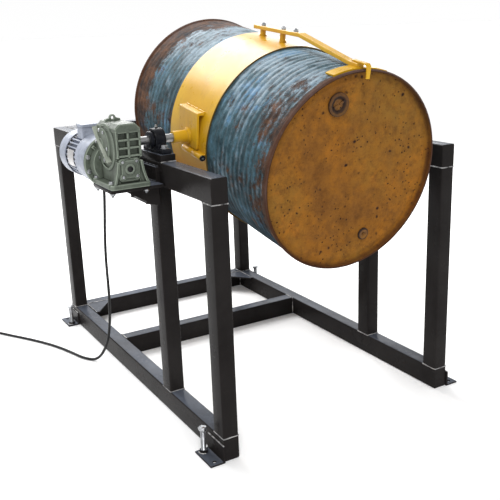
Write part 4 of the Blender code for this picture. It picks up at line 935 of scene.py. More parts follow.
def add_lifting_eye(shape):
    """A flat lug with a round eye, standing across the middle of the roof."""
    x, y, z, count = -0.109, PIVOT_Y, 0.965, 40
    inner, outer = [], []
    for i in range(count):
        angle = 2 * math.pi * i / count
        across, up = math.cos(angle), math.sin(angle)
        reach = 0.0095
        if up < -0.15:
            reach = min(0.0125 / -up, 0.023 / max(abs(across), 0.01))
        outer.append((x + reach * across, z + reach * up))
        inner.append((x + 0.0048 * across, z + 0.0048 * up))
    half = 0.0046
    rings = [[(a, y + side * depth, b) for a, b in line] for line, side, depth in (
        (inner, -1, half), (outer, -1, half), (outer, 1, half), (inner, 1, half))]
    add_loft(shape, rings, loop=True)


def build_cover_rib():
    """The bent rib that crosses the gearbox's side cover, in a paler copy of the gearbox paint as painted
    highlight.
    """
    spine = catmull([(0, 0.433, 0.937), (0, 0.424, 0.927), (0, 0.406, 0.908), (0, 0.388, 0.895),
                     (0, 0.37, 0.88), (0, 0.352, 0.862), (0, 0.338, 0.85), (0, 0.33, 0.844)], 4)
    rings = []
    for i, point in enumerate(spine):
        share = i / (len(spine) - 1)
        half = 0.003 + 0.0011 * math.cos(4 * math.pi * share)
        lift = 0.015 + 0.0016 * math.sin(math.pi * share)
        rings.append([(CASE_OUT - x, point.y + 0.7 * half * w, point.z - 0.71 * half * w) for x,
                      w in ((0.002, -1.3), (lift - 0.0015, -1.0), (lift, -0.55), (lift, 0.55),
                            (lift - 0.0015, 1.0), (0.002, 1.3))])
    shape = bmesh.new()
    add_loft(shape, rings)
    piece("gearbox_cover_rib", shape, HIGHLIT_GREEN, "frame", MACHINE, crease=50)


def build_gearbox():
    piece("gearbox_case", gearbox_case(), GREEN, "frame", MACHINE, ["gearbox_housing"], 180)
    shape = bmesh.new()
    place = shift(CASE_OUT - 0.0036, PIVOT_Y, PIVOT_Z, ALONG_X.inverted())
    add_turned(shape, [(0, 0.0068), (0.02, 0.0068), (0.0225, 0.004), (0.0465, 0.0034), (0.0505, 0.002),
                       (0.0515, 0.0), (0.0, 0.0)], place, 72)
    cover = fused(shape, 0.0009, 4)
    piece("gearbox_side_cover", cover, GREEN, "frame", MACHINE, ["gearbox_wheel_cover"],
          180)
    build_cover_rib()
    shape = bmesh.new()
    add_turned(shape, [(SHAFT_RADIUS + 0.0008, 0.0064), (0.02, 0.0067), (0.0225, 0.005), (0.029, 0.0042),
                       (0.0307, 0.0022), (0.0307, 0.0003), (SHAFT_RADIUS + 0.0008, 0.0003)],
               shift(-0.062, PIVOT_Y, PIVOT_Z, ALONG_X), 64)
    piece("gearbox_seal_cover", shape, GREEN, "frame", MACHINE, ["gearbox_shaft_cover"], 28)
    shape = bmesh.new()
    add_prism(shape, rounded(0.05, 0.05, 0.012, centre=(GEAR_X + 0.001, WORM_Z)), 0.286, 0.2912, XZ, 0.0012)
    for i in range(4):
        angle = math.pi / 4 + math.pi / 2 * i
        add_turned(shape, [(0, 0.0052), (0.0078, 0.0052), (0.0092, 0.0035), (0.0092, 0), (0, 0)],
                   shift(GEAR_X + 0.001 + 0.03 * math.cos(angle), 0.2912, WORM_Z + 0.03 * math.sin(angle),
                         ALONG_Y.inverted()), 28)
    add_turned(shape, [(0.0088, 0.0084), (0.013, 0.0084), (0.0152, 0.0068), (0.0165, 0.004), (0.0165, 0),
                       (0.0088, 0)], shift(GEAR_X + 0.001, 0.2912, WORM_Z, ALONG_Y.inverted()), 48)
    cover = fused(shape, 0.0009, 3)
    piece("worm_bearing_cover", cover, GREEN, "frame", MACHINE, ["worm_end_cover"], 180)
    shape = bmesh.new()
    add_turned(shape, [(0, 0.005), (0.004, 0.0048), (0.0078, 0.003), (0.0087, 0), (0, 0)],
               shift(GEAR_X + 0.001, 0.2862, WORM_Z, ALONG_Y.inverted()), 32)
    piece("worm_cover_cap", shape, BLACK, "frame", MACHINE)
    shape = bmesh.new()
    plug = [(0, 0.0195), (0.005, 0.0193), (0.0082, 0.0178), (0.0097, 0.015), (0.01, 0.011), (0.01, 0.007),
            (0.0086, 0.006), (0.006, 0.0055), (0.006, 0.0), (0, 0.0)]
    add_turned(shape, plug, shift(-0.0768, 0.335, 0.934, ALONG_X), 40)
    for i in range(12):
        angle = math.pi / 6 * i
        add_box(shape, (0.0092, -0.0012, 0.0075), (0.0104, 0.0012, 0.015),
                shift(-0.0768, 0.335, 0.934, ALONG_X) @ Matrix.Rotation(angle, 4, "Z"), 0.0004, 1)
    piece("oil_filler_plug", shape, CREAM, "frame", MACHINE, ["oil_plug"], 30)
    shape = bmesh.new()
    add_turned(shape, [(0, 0.006), (0.0058, 0.006), (0.0068, 0.0045), (0.0068, 0), (0, 0)],
               shift(CASE_IN, 0.326, 0.846, ALONG_X), 28)
    piece("oil_level_plug", shape, CREAM, "frame", MACHINE, crease=30)
    bolts = bmesh.new()
    for i in range(4):
        angle = math.pi / 4 + math.pi / 2 * i
        add_bolt(bolts, shift(GEAR_X + 0.001 + 0.03 * math.cos(angle), 0.2862,
                              WORM_Z + 0.03 * math.sin(angle), ALONG_Y.inverted()), 0.0024, washer=False,
                 head=0.0024)
    for x in (-0.157, -0.054):
        for y in (0.304, 0.426):
            add_bolt(bolts, shift(x, y, 0.7892), 0.0043)
            add_bolt(bolts, shift(x, y, 0.7616, Matrix.Rotation(math.pi, 4, "X")), 0.0043, stud=0.0045)
    for angle in (0.15, 1.35, 2.05, 3.25, 4.35, 5.25):
        y, z = PIVOT_Y + 0.044 * math.cos(angle), PIVOT_Z + 0.044 * math.sin(angle)
        add_bolt(bolts, shift(CASE_OUT - 0.0072, y, z, ALONG_X.inverted()), 0.0026, washer=False,
                 head=0.0026)
    piece("gearbox_bolts", bolts, ZINC, "frame", MACHINE, crease=28)
    build_bracket()


def build_bracket():
    shape = bmesh.new()
    add_box(shape, (-0.01, 0.33, 0.697), (-GAP, 0.56, 0.815), bevel=0.0012)
    add_box(shape, (-0.166, 0.29, 0.7617), (-0.005, 0.4396, 0.7717), bevel=0.0012)
    for y in (0.3152, 0.429):
        rings = [[(x, y + 0.008 * side, z) for x, z in ((-0.009, 0.705), (-0.052, 0.713), (-0.052, 0.722),
                                                        (-0.12, 0.763), (-0.009, 0.763))] for side in (0, 1)]
        add_loft(shape, rings)
    add_box(shape, (-0.05, 0.318, 0.713), (-0.042, 0.436, 0.7625), bevel=0.001)
    piece("gearbox_shelf", shape, FRAME, "frame", MACHINE, ["gearbox_bracket"])
    welds = bmesh.new()
    add_weld(welds, [(-0.0008, 0.332, 0.8152), (-0.0008, 0.558, 0.8152)], 0.0028)
    add_weld(welds, [(-0.0102, 0.332, 0.772), (-0.0102, 0.438, 0.772)], 0.0026)
    add_weld(welds, [(-0.0004, 0.3296, 0.7), (-0.0004, 0.3296, 0.813)], 0.0022)
    add_weld(welds, [(-0.0004, 0.5604, 0.7), (-0.0004, 0.5604, 0.813)], 0.0022)
    piece("bracket_welds", welds, FRAME, "frame", MACHINE, crease=60)


# ---- motor ----------------------------------------------------------------------------------------
def star_ring(y, outer, inner, fins, flat_from, flat_to):
    """A finned motor section; the fins stop between flat_from and flat_to degrees, where the terminal box
    sits.
    """
    ring = []
    for fin in range(fins):
        for share, radius in ((0.0, inner), (0.36, inner), (0.44, outer), (0.72, outer), (0.8, inner)):
            angle = 2 * math.pi * (fin + share) / fins
            size = inner + 0.0035 if flat_from < math.degrees(angle) < flat_to else radius
            ring.append((size * math.cos(angle), y, size * math.sin(angle)))
    return ring


def build_motor():
    axis = shift(GEAR_X, 0, WORM_Z, ALONG_Y)
    at = shift(GEAR_X, 0, WORM_Z)
    shape = bmesh.new()
    add_turned(shape, [(0, 0.4535), (0.0765, 0.4535), (0.0795, 0.4515), (0.0799, 0.448), (0.0799, 0.444),
                       (0.0785, 0.4405), (0, 0.4405)], axis, 96)
    for i in range(4):
        angle = math.pi / 4 + math.pi / 2 * i
        add_box(shape, (0.05, -0.0045, 0.433), (0.074, 0.0045, 0.442), axis @ Matrix.Rotation(angle, 4, "Z"),
                0.001)
    piece("motor_mount_flange", fused(shape, 0.0012, 3), GREEN, "frame", MACHINE, ["motor_flange"],
          180)
    bolts = bmesh.new()
    for angle in (0.3, 1.15, 2.0, 2.84, 3.45, 4.3, 5.15, 5.98):
        x, z = GEAR_X + 0.0705 * math.cos(angle), WORM_Z + 0.0705 * math.sin(angle)
        if x < -0.145 or z > 0.86:
            add_bolt(bolts, shift(x, 0.4403, z, ALONG_Y.inverted()), 0.0033, head=0.0036)
    piece("motor_flange_bolts", bolts, ZINC, "frame", MACHINE, crease=28)

    shape = bmesh.new()
    add_turned(shape, [(0, 0.5552), (0.07, 0.5552), (0.073, 0.553), (0.0734, 0.548), (0.0734, 0.478),
                       (0.0722, 0.466), (0.069, 0.458), (0.066, 0.4543), (0, 0.4543)], axis, 96)
    for i in range(4):
        angle = math.pi / 4 + math.pi / 2 * i
        add_box(shape, (0.064, -0.0055, 0.456), (0.0733, 0.0055, 0.554),
                axis @ Matrix.Rotation(angle, 4, "Z"), 0.002)
    add_turned(shape, [(0.0715, 0.544), (0.0739, 0.5425), (0.0739, 0.538), (0.0715, 0.5365)], axis, 96)
    piece("motor_drive_end", fused(shape, 0.0012, 3), GREY, "frame", MACHINE, ["motor_end_bell"],
          180)

    shape = bmesh.new()
    rings = [star_ring(y, 0.0698, 0.0595, 32, 60, 120) for y in (0.5556, 0.6448)]
    add_loft(shape, rings, at)
    piece("motor_finned_body", shape, GREY, "frame", MACHINE, ["motor_body", "motor_stator"],
          25)
    shape = bmesh.new()
    bend = [(0.0712 * math.cos(a), 0.0712 * math.sin(a)) for a in [math.pi * (1 - 0.115 + 0.23 * i / 12)
                                                                   for i in range(13)]]
    inner = [(0.0704 * x / 0.0712, 0.0704 * z / 0.0712) for x, z in bend]
    add_loft(shape, [[(x, y, z) for x, z in bend + inner[::-1]] for y in (0.572, 0.629)], at)
    for y in (0.5755, 0.6255):
        for a in (math.pi * 0.903, math.pi * 1.097):
            add_turned(shape, [(0, 0.0722), (0.0011, 0.0721), (0.0016, 0.0714), (0.0016, 0.07), (0, 0.07)],
                       at @ Matrix.Translation((0, y, 0)) @ Matrix.Rotation(-a, 4, "Y") @ ALONG_X, 12)
    piece("motor_nameplate", shape, PLATE, "frame", MACHINE, crease=40)

    build_fan_cover(axis)
    build_terminal_box()


def build_fan_cover(axis):
    """A pressed cowl with a ringed grille at the back and four small bosses round its skirt."""
    shape = bmesh.new()
    skirt = [(0.0733, 0.6454), (0.0733, 0.703), (0.0722, 0.7075), (0.069, 0.7105), (0.0655, 0.7114),
             (0.064, 0.7108), (0.064, 0.7094), (0.068, 0.7086), (0.0706, 0.706), (0.0716, 0.702),
             (0.0716, 0.6454)]
    add_turned(shape, skirt[::-1], axis, 96)
    for radius in (0.056, 0.0475, 0.039, 0.0305, 0.022):
        add_turned(shape, [(radius - 0.0021, 0.7092), (radius + 0.0021, 0.7092), (radius + 0.0021, 0.7112),
                           (radius - 0.0021, 0.7112)], axis, 72)
    add_turned(shape, [(0, 0.7116), (0.0125, 0.7116), (0.014, 0.7108), (0.014, 0.7092), (0, 0.7092)], axis,
               40)
    for i in range(6):
        add_box(shape, (0.012, -0.003, 0.7091), (0.065, 0.003, 0.7111),
                axis @ Matrix.Rotation(math.pi / 3 * i, 4, "Z"), 0.0006)
    for i in range(4):
        add_turned(shape, [(0, 0.0748), (0.002, 0.0746), (0.0031, 0.0738), (0.0031, 0.072), (0, 0.072)],
                   axis @ Matrix.Rotation(math.pi / 4 + math.pi / 2 * i, 4,
                                          "Z") @ Matrix.Translation((0, 0, 0.651)) @ ALONG_X, 16)
    piece("motor_fan_cowl", shape, GREY, "frame", MACHINE, ["fan_cover"], 30)


def build_terminal_box():
    shape = bmesh.new()
    rings = []
    for z, inset in ((0.884, 0.0), (0.89, 0.0), (0.92, 0.0012), (0.9224, 0.002)):
        rings.append([(x, y, z) for x, y in rounded(0.083 - 2 * inset, 0.053 - 2 * inset, 0.004,
                                                    centre=(-0.1065, 0.5765))])
    add_loft(shape, rings)
    cutter = bmesh.new()
    add_turned(cutter, [(0, 0.66), (0.0728, 0.66), (0.0728, 0.5), (0, 0.5)],
               shift(GEAR_X, 0, WORM_Z, ALONG_Y), 96)
    piece("motor_terminal_box", carved(to_mesh(shape), cutter), GREY, "frame", MACHINE, ["terminal_box"],
          30)
    shape = bmesh.new()
    rings = []
    for z, inset in ((0.9229, 0.0012), (0.9234, 0.0006), (0.93, 0.0006), (0.931, 0.0012), (0.9315, 0.0028)):
        rings.append([(x, y, z) for x, y in rounded(0.0868 - 2 * inset, 0.0568 - 2 * inset, 0.005,
                                                    centre=(-0.1065, 0.5765))])
    add_loft(shape, rings)
    piece("motor_terminal_lid", shape, GREY, "frame", MACHINE, ["terminal_box_lid"], 45)
    screws = bmesh.new()
    for x in (-0.1435, -0.0695):
        for y in (0.556, 0.597):
            add_turned(screws, [(0, 0.9322), (0.0012, 0.9322), (0.0026, 0.9316), (0.003, 0.93), (0, 0.93)],
                       shift(x, y, 0), 18)
    piece("terminal_lid_screws", screws, ZINC, "frame", MACHINE, crease=30)
    shape = bmesh.new()
    place = shift(CORD_EXIT[0], 0.6033, CORD_EXIT[2], ALONG_Y)
    rings = []
    for z, r in ((0.0, 0.01), (0.0006, 0.0105), (0.0054, 0.0105), (0.006, 0.01)):
        rings.append([(r * math.cos(math.pi / 3 * i), r * math.sin(math.pi / 3 * i), z) for i in range(6)])
    add_loft(shape, rings, place)
    add_turned(shape, [(0, 0.015), (0.0086, 0.015), (0.0094, 0.0135), (0.0094, 0.0058), (0, 0.0058)], place,
               32)
    for i in range(18):
        add_box(shape, (0.009, -0.0006, 0.0068), (0.0099, 0.0006, 0.0132),
                place @ Matrix.Rotation(math.pi / 9 * i, 4, "Z"), 0.0002, 1)
    add_turned(shape, [(0, 0.0184), (0.0066, 0.0184), (0.0078, 0.015), (0, 0.015)], place, 32)
    piece("cord_gland", shape, BLACK, "frame", MACHINE, ["cable_gland"], 30)


def dress_inner_parts():
    """Materials for the CAD nodes that keep their own shape."""
    for node, finish in (("worm_wheel", BRONZE), ("worm_shaft", SHAFT), ("motor_rotor", IRON),
                         ("cooling_fan", BLACK)):
        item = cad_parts[node]
        item.data.materials.clear()
        item.data.materials.append(finish)


# ---- cradle ---------------------------------------------------------------------------------------
DRUM_X, SPLIT = FRAME_WIDTH / 2, -0.0405
BAND_IN, BAND_OUT, BAND_REAR, BAND_FRONT = 0.29, 0.294, 0.14, -0.105
DRUM_AXIS = CRADLE @ Matrix.Translation((DRUM_X, 0, -DRUM_DROP))


def ring_point(radius, angle, s):
    return Vector((radius * math.cos(angle), s, radius * math.sin(angle)))


def add_arc(shape, inner, outer, start, stop, s_low, s_high, steps=96, lip=0.0006, matrix=UP):
    """A strip of rolled plate round the drum's axis, with softened long edges."""
    rings = []
    for i in range(steps + 1):
        a = start + (stop - start) * i / steps
        rings.append([ring_point(r, a, s) for r, s in (
            (inner, s_low), (outer - lip, s_low), (outer, s_low + lip), (outer, s_high - lip),
            (outer - lip, s_high), (inner, s_high))])
    add_loft(shape, rings, matrix)


def build_bands():
    """The two halves of the rolled band, their knuckles, leaves and clamp lugs."""
    drop = SPLIT + DRUM_DROP
    start = math.asin((drop + 0.001) / BAND_OUT)
    low_start = math.asin((drop - 0.001) / BAND_OUT)
    upper = bmesh.new()
    add_arc(upper, BAND_IN, BAND_OUT, start, math.pi - start, BAND_FRONT, BAND_REAR)
    lower = bmesh.new()
    add_arc(lower, BAND_IN, BAND_OUT, math.pi - low_start, 2 * math.pi + low_start, BAND_FRONT, BAND_REAR)
    pin_x, pin_h = 0.1255 - DRUM_X, drop
    pin = shift(pin_x, 0, pin_h)
    for shape, s_low, s_high, way in ((upper, -0.104, -0.045, 1), (lower, -0.0447, 0.016, -1)):
        add_turned(shape, [(0.0044, s_low), (0.009, s_low), (0.0095, s_low + 0.0006),
                           (0.0095, s_high - 0.0006), (0.009, s_high), (0.0044, s_high)], pin @ ALONG_Y, 40)
        h_low, h_high = sorted((pin_h + way * 0.0012, pin_h + way * 0.0092))
        add_box(shape, (pin_x + 0.002, s_low + 0.0005, h_low), (pin_x + 0.0145, s_high - 0.0005, h_high),
                bevel=0.0008)
        lug_low, lug_high = sorted((drop + way * 0.001, drop + way * 0.009))
        add_box(shape, (0.721 - DRUM_X, -0.045, lug_low), (0.749 - DRUM_X, 0.075, lug_high), bevel=0.0012)
    piece("band_upper_half", upper, BAND, "cradle", DRUM_AXIS, ["upper_band"], 40)
    piece("band_lower_half", lower, BAND, "lower_clamp", DRUM_AXIS, ["lower_band"], 40)
    for name, body, way in (("upper", "cradle", 1), ("lower", "lower_clamp", -1)):
        welds = bmesh.new()
        s_low, s_high = (-0.103, -0.046) if way > 0 else (-0.0435, 0.015)
        x, h = pin_x + 0.0135, pin_h + way * 0.0095
        add_weld(welds, [(x, s_low, h), (x, s_high, h)], 0.0022)
        x, h = 0.7232 - DRUM_X, drop + way * 0.0094
        add_weld(welds, [(x, -0.044, h), (x, 0.074, h)], 0.0022)
        piece(f"{name}_band_welds", welds, YELLOW, body, DRUM_AXIS, crease=60)
    shape = bmesh.new()
    profile = [(0, 0.024), (0.005, 0.0238), (0.0068, 0.0228), (0.0072, 0.0215), (0.0072, 0.0172),
               (0.0066, 0.0164), (0.004, 0.0164), (0.004, -0.1065), (0.0034, -0.108), (0, -0.108)]
    add_turned(shape, profile, pin @ ALONG_Y, 32)
    piece("hinge_pin_turned", shape, SHAFT, "cradle", DRUM_AXIS, ["hinge_pin"], 30)
    shape = bmesh.new()
    add_turned(shape, [(0.0043, -0.1078), (0.0084, -0.1074), (0.0088, -0.106), (0.0088, -0.1045),
                       (0.0043, -0.1045)], pin @ ALONG_Y, 32)
    piece("hinge_pin_ring", shape, BLACK_CAST, "cradle", DRUM_AXIS, crease=30)
    bolts, nuts = bmesh.new(), bmesh.new()
    for s in (-0.027, 0.057):
        add_bolt(bolts, shift(0.7375 - DRUM_X, s, drop + 0.0092), 0.0042)
        add_bolt(nuts, shift(0.7375 - DRUM_X, s, drop - 0.0092, DOWN), 0.0042, stud=0.0045)
    piece("clamp_bolt_heads", bolts, ZINC, "cradle", DRUM_AXIS, crease=28)
    piece("clamp_bolt_nuts", nuts, ZINC, "lower_clamp", DRUM_AXIS, crease=28)


def build_trunnion(side):
    """The plate that carries the band on one side, with its hub and clamped collar."""
    way = 1 if side == "left" else -1
    def across(x):
        return x if way > 0 else FRAME_WIDTH - x
    face_in, face_out = across(0.1357), across(0.1277)
    shape = bmesh.new()
    low, high = sorted((face_in, face_out))
    outline = rounded(0.12, 0.112, 0.006, centre=(0.0, 0.0268))
    add_prism(shape, outline, low, high, YZ, 0.001)
    h_top = 0.084
    run = math.sqrt(max(0.0, (BAND_OUT + 0.0008) ** 2 - (h_top + DRUM_DROP) ** 2))
    run_low = math.sqrt(max(0.0, (BAND_OUT + 0.0006) ** 2 - (h_top - 0.008 + DRUM_DROP) ** 2))
    tip, tip_low = DRUM_X - way * run, DRUM_X - way * run_low
    rings = []
    for s in (-0.06, 0.06):
        rings.append([(across(0.129), s, h_top - 0.008), (across(0.129), s, h_top - 0.0008),
                      (across(0.13), s, h_top), (tip, s, h_top), (tip_low, s, h_top - 0.008)])
    add_loft(shape, rings)
    hub_out, hub_in = across(0.0757), across(0.1297)
    low, high = sorted((hub_out, hub_in))
    add_turned(shape, [(SHAFT_RADIUS + GAP, low), (0.018, low), (0.019, low + 0.001), (0.019, high - 0.001),
                       (0.018, high), (SHAFT_RADIUS + GAP, high)], ALONG_X, 56)
    low, high = sorted((across(0.1207), across(0.1287)))
    add_turned(shape, [(0.0185, low), (0.0232, low), (0.024, low + 0.001), (0.024, high - 0.0005),
                       (0.0232, high), (0.0185, high)], ALONG_X, 56)
    piece(f"{side}_trunnion_plate", shape, YELLOW, "cradle", CRADLE, [f"{side}_trunnion"], 35)
    welds = bmesh.new()
    for x, reach, radius in ((0.1205, 0.0197, 0.0016), (0.127, 0.0243, 0.002)):
        ring = [(across(x), reach * math.cos(a), reach * math.sin(a)) for a in angles(16)]
        add_weld(welds, ring, radius, True)
    add_weld(welds, [(tip - way * 0.001, -0.0585, h_top + 0.0006), (tip - way * 0.001, 0.0585,
                                                                    h_top + 0.0006)], 0.0026)
    piece(f"{side}_trunnion_welds", welds, YELLOW, "cradle", CRADLE, crease=60)
    bolt = bmesh.new()
    profile = [(0, 0.0225), (0.0018, 0.0225), (0.003, 0.0218), (0.0034, 0.0205), (0.0034, 0.018), (0, 0.018)]
    add_turned(bolt, profile, shift(across(0.086), 0, 0) @ Matrix.Rotation(-0.9, 4, "X"), 20)
    piece(f"{side}_hub_setscrew", bolt, ZINC, "cradle", CRADLE, crease=28)


def build_shafts():
    for name, node, low, high in (("drive_shaft_turned", "drive_shaft", -0.1305, 0.1307),
                                  ("idler_shaft_turned", "idler_shaft", 0.7293, 0.872)):
        shape = bmesh.new()
        add_turned(shape, [(0, low), (0.0112, low), (SHAFT_RADIUS, low + 0.0013),
                           (SHAFT_RADIUS, high - 0.0013), (0.0112, high), (0, high)], ALONG_X, 48)
        piece(name, shape, SHAFT, "cradle", CRADLE, [node], 30)


BAR_LINE = [(0.122, 0.2905), (-0.132, 0.305), (-0.378, 0.2725), (-0.418, 0.2725)]
BAR_HALF, BAR_THICK = 0.012, 0.012


def bar_height(s):
    for (s1, h1), (s2, h2) in zip(BAR_LINE, BAR_LINE[1:]):
        if s <= s1 and s >= s2:
            return h1 + (h2 - h1) * (s1 - s) / (s1 - s2)
    return BAR_LINE[-1][1]


def build_hold_down():
    """The cranked bar on the band's two posts, its nuts, the T-strap on the drum and the rim hook."""
    line = []
    for index, (s, h) in enumerate(BAR_LINE):
        if 0 < index < len(BAR_LINE) - 1:
            before, after = BAR_LINE[index - 1], BAR_LINE[index + 1]
            for share in (0.05, 0.0, -0.05):
                other = before if share > 0 else after
                line.append((s + (other[0] - s) * abs(share), h + (other[1] - h) * abs(share)))
        else:
            line.append((s, h))
    line = sorted(line, reverse=True)
    rings = []
    edge = 0.0014
    for s, h in line:
        rings.append([(x, s, z) for x, z in ((-BAR_HALF + edge, h), (BAR_HALF - edge, h),
                                             (BAR_HALF, h + edge), (BAR_HALF, h + BAR_THICK - edge),
                                             (BAR_HALF - edge, h + BAR_THICK),
                                             (-BAR_HALF + edge, h + BAR_THICK),
                                             (-BAR_HALF, h + BAR_THICK - edge), (-BAR_HALF, h + edge))])
    bar = bmesh.new()
    add_loft(bar, rings, shift(DRUM_X, 0, 0))
    for s in (0.083, -0.032):
        top = bar_height(s)
        add_turned(bar, [(0, top + 0.001), (0.0088, top + 0.001), (0.009, top - 0.002), (0.009, 0.2762),
                         (0.0105, 0.2752), (0.0105, 0.2745), (0, 0.2745)], shift(DRUM_X, s, 0), 32)
    axis = shift(DRUM_X, 0, -DRUM_DROP)
    add_arc(bar, 0.2893, 0.2943, math.radians(72), math.radians(108), -0.425, -0.387, 28, 0.0008, axis)
    piece("hold_down_crank_bar", bar, YELLOW, "cradle", CRADLE, ["hold_down_bar"], 40)
    bolts = bmesh.new()
    for s in (0.083, -0.032, -0.1):
        lean = math.atan2(bar_height(s) - bar_height(s - 0.01), 0.01)
        add_bolt(bolts, shift(DRUM_X, s, bar_height(s) + BAR_THICK, Matrix.Rotation(lean, 4, "X")), 0.0043,
                 stud=0.003)
    piece("hold_down_nuts", bolts, ZINC, "cradle", CRADLE, crease=28)
    welds = bmesh.new()
    for s in (0.083, -0.032):
        add_weld(welds, [(DRUM_X + 0.0105 * math.cos(a), s + 0.0105 * math.sin(a), 0.2752)
                         for a in angles(12)], 0.0016, True)
    piece("post_welds", welds, YELLOW, "cradle", CRADLE, crease=60)
    shape = bmesh.new()
    half, top, thick = 0.007, 0.2898, 0.005
    path = [(-0.388, top - thick / 2), (-0.446, top - thick / 2)]
    for i in range(1, 7):
        a = math.pi / 2 * i / 6
        path.append((-0.446 - 0.008 * math.sin(a), top - thick / 2 - 0.008 * (1 - math.cos(a))))
    path.append((-0.454, 0.2502))
    rings = []
    for i, (s, h) in enumerate(path):
        before, after = path[max(i - 1, 0)], path[min(i + 1, len(path) - 1)]
        way = Vector((after[0] - before[0], after[1] - before[1])).normalized()
        n = Vector((-way.y, way.x)) * thick / 2
        taper = 0.8 if i == len(path) - 1 else 1.0
        rings.append([(x * taper, s + side * n.x, h + side * n.y) for x,
                      side in ((-half + 0.0008, -1), (half - 0.0008, -1), (half, -0.6), (half, 0.6),
                               (half - 0.0008, 1), (-half + 0.0008, 1), (-half, 0.6), (-half, -0.6))])
    add_loft(shape, rings, shift(DRUM_X, 0, 0))
    piece("rim_hook_bent", shape, YELLOW, "hook", CRADLE, ["chime_hook"], 40)


# ---- drum -----------------------------------------------------------------------------------------
DRUM_RADIUS, WALL = 0.2885, 0.0015


def shell_radius(s):
    """The wall's profile along the drum: rolled corrugations, the band's plain seat and the rims."""
    reach = abs(s)
    if BAND_FRONT - 0.006 < s < BAND_REAR + 0.006 or reach > WALL_END:
        return DRUM_RADIUS
    fade = min(1.0, (WALL_END - reach) / 0.01, max(BAND_FRONT - 0.006 - s, s - BAND_REAR - 0.006) / 0.008)
    depth = 0.0019 if s < 0 else 0.0008
    return DRUM_RADIUS - depth * fade * (0.5 - 0.5 * math.cos(2 * math.pi * (reach - WALL_END) / RIB_PITCH))


def dent(s, angle):
    """Soft, shallow dents of a used drum; none under the band or the strap."""
    spot = Vector((math.cos(angle) * 1.6, s * 6.0, math.sin(angle) * 1.6))
    value = noise.noise(spot * 1.3 + Vector((4.1, 0, 0))) * 0.6 + noise.noise(spot * 3.1 + Vector((0, 7.7,
                                                                                                   0))) * 0.4
    free = 1.0 if s > BAND_REAR + 0.03 or -0.37 < s < BAND_FRONT - 0.03 else 0.0
    edge = min(1.0, max(0.0, (0.405 - abs(s)) / 0.05), max(0.0, (s - BAND_REAR - 0.01) / 0.04
                                                           if s > 0 else (BAND_FRONT - 0.01 - s) / 0.04))
    return -0.0026 * max(0.0, value + 0.05) * free * edge


def build_drum_shell():
    steps, rows = 240, []
    s = -WALL_END
    while s < WALL_END + 0.0001:
        rows.append(s)
        s += 0.0035
    rows.append(WALL_END)

    def ring_at(s, depth):
        return [ring_point(shell_radius(s) + dent(s, a) - depth, a, s) for a in angles(steps)]

    rings = [ring_at(s, 0) for s in rows]
    rings += chime_rings(steps, 1)
    rings += [ring_at(s, WALL) for s in reversed(rows)]
    rings += chime_rings(steps, -1)
    shape = bmesh.new()
    add_loft(shape, rings, loop=True)
    piece("drum_corrugated_wall", shape, DRUM, "cradle", DRUM_AXIS, ["drum_shell"], 60)


def chime_rings(steps, side):
    """The rolled rim at one end, from the wall's outside round to its inside."""
    rings = []
    profile = [(0.2885, 0.425), (0.289, 0.4285), (0.2908, 0.43), (0.2922, 0.4325), (0.2925, 0.4365),
               (0.2921, 0.44), (0.2908, 0.4418), (0.289, 0.442), (0.2876, 0.4412), (0.2871, 0.439),
               (0.287, 0.433), (0.287, 0.423)]
    if side < 0:
        profile = profile[::-1]
    for radius, reach in profile:
        rings.append([ring_point(radius, a, side * reach) for a in angles(steps)])
    return rings


def head_surface(radius_from, radius_to, pitch=0.0045):
    """The radii at which a drum head gets a ring of points."""
    radii = []
    r = radius_from
    while r < radius_to:
        radii.append(r)
        r += pitch
    radii.append(radius_to)
    return radii


def head_relief(r):
    """The pressed rings in a drum head, outwards positive."""
    relief = 0.0
    for centre, width, rise in ((0.262, 0.0065, 0.0022), (0.232, 0.01, -0.0012)):
        relief += rise * math.exp(-((r - centre) / width) ** 2)
    return relief


def build_head(name, node, side, holes):
    """A pressed end, set in from the rim, with its flange rolled up against the rim."""
    steps = 180
    face = 0.428
    outer_rings, inner_rings = [], []
    radii = head_surface(0.006, 0.279)
    def sag(r, angle):
        spot = Vector((math.cos(angle) * r * 5, math.sin(angle) * r * 5, side * 3.0))
        return 0.0016 * noise.noise(spot) * (1 - (r / 0.29) ** 4)
    def at(r, h, angle):
        return Vector((r * math.cos(angle), side * h, r * math.sin(angle)))
    for r in radii:
        outer_rings.append([at(r, face + head_relief(r) + sag(r, a) - 0.0004, a) for a in angles(steps)])
        inner_rings.append([at(r, face - 0.0016 + head_relief(r) + sag(r, a), a) for a in angles(steps)])
    flange = [(0.2826, 0.4274), (0.2846, 0.429), (0.2852, 0.432), (0.2853, 0.4405), (0.2858, 0.4411),
              (0.2866, 0.4406), (0.2868, 0.43), (0.2866, 0.427), (0.2845, 0.4256)]
    for r, h in flange:
        outer_rings.append([at(r, h, a) for a in angles(steps)])
    shape = bmesh.new()
    add_loft(shape, outer_rings + inner_rings[::-1], caps=True)
    head = to_mesh(shape)
    cutter = bmesh.new()
    for x, h, hole in holes:
        add_turned(cutter, [(0, 0.46), (hole, 0.46), (hole, 0.4), (0, 0.4)],
                   Matrix.Translation((x - DRUM_X, 0, h + DRUM_DROP)) @ Matrix.Rotation(side * -math.pi / 2,
                                                                                        4, "X"), 48)
    if holes:
        head = carved(head, cutter)
    item = piece(name, head, HEAD, "cradle", DRUM_AXIS, [node], 45)
    return item


BUNGS = [("large", 0.361, 0.1804, 0.0285), ("small", 0.499, -0.2204, 0.0135)]


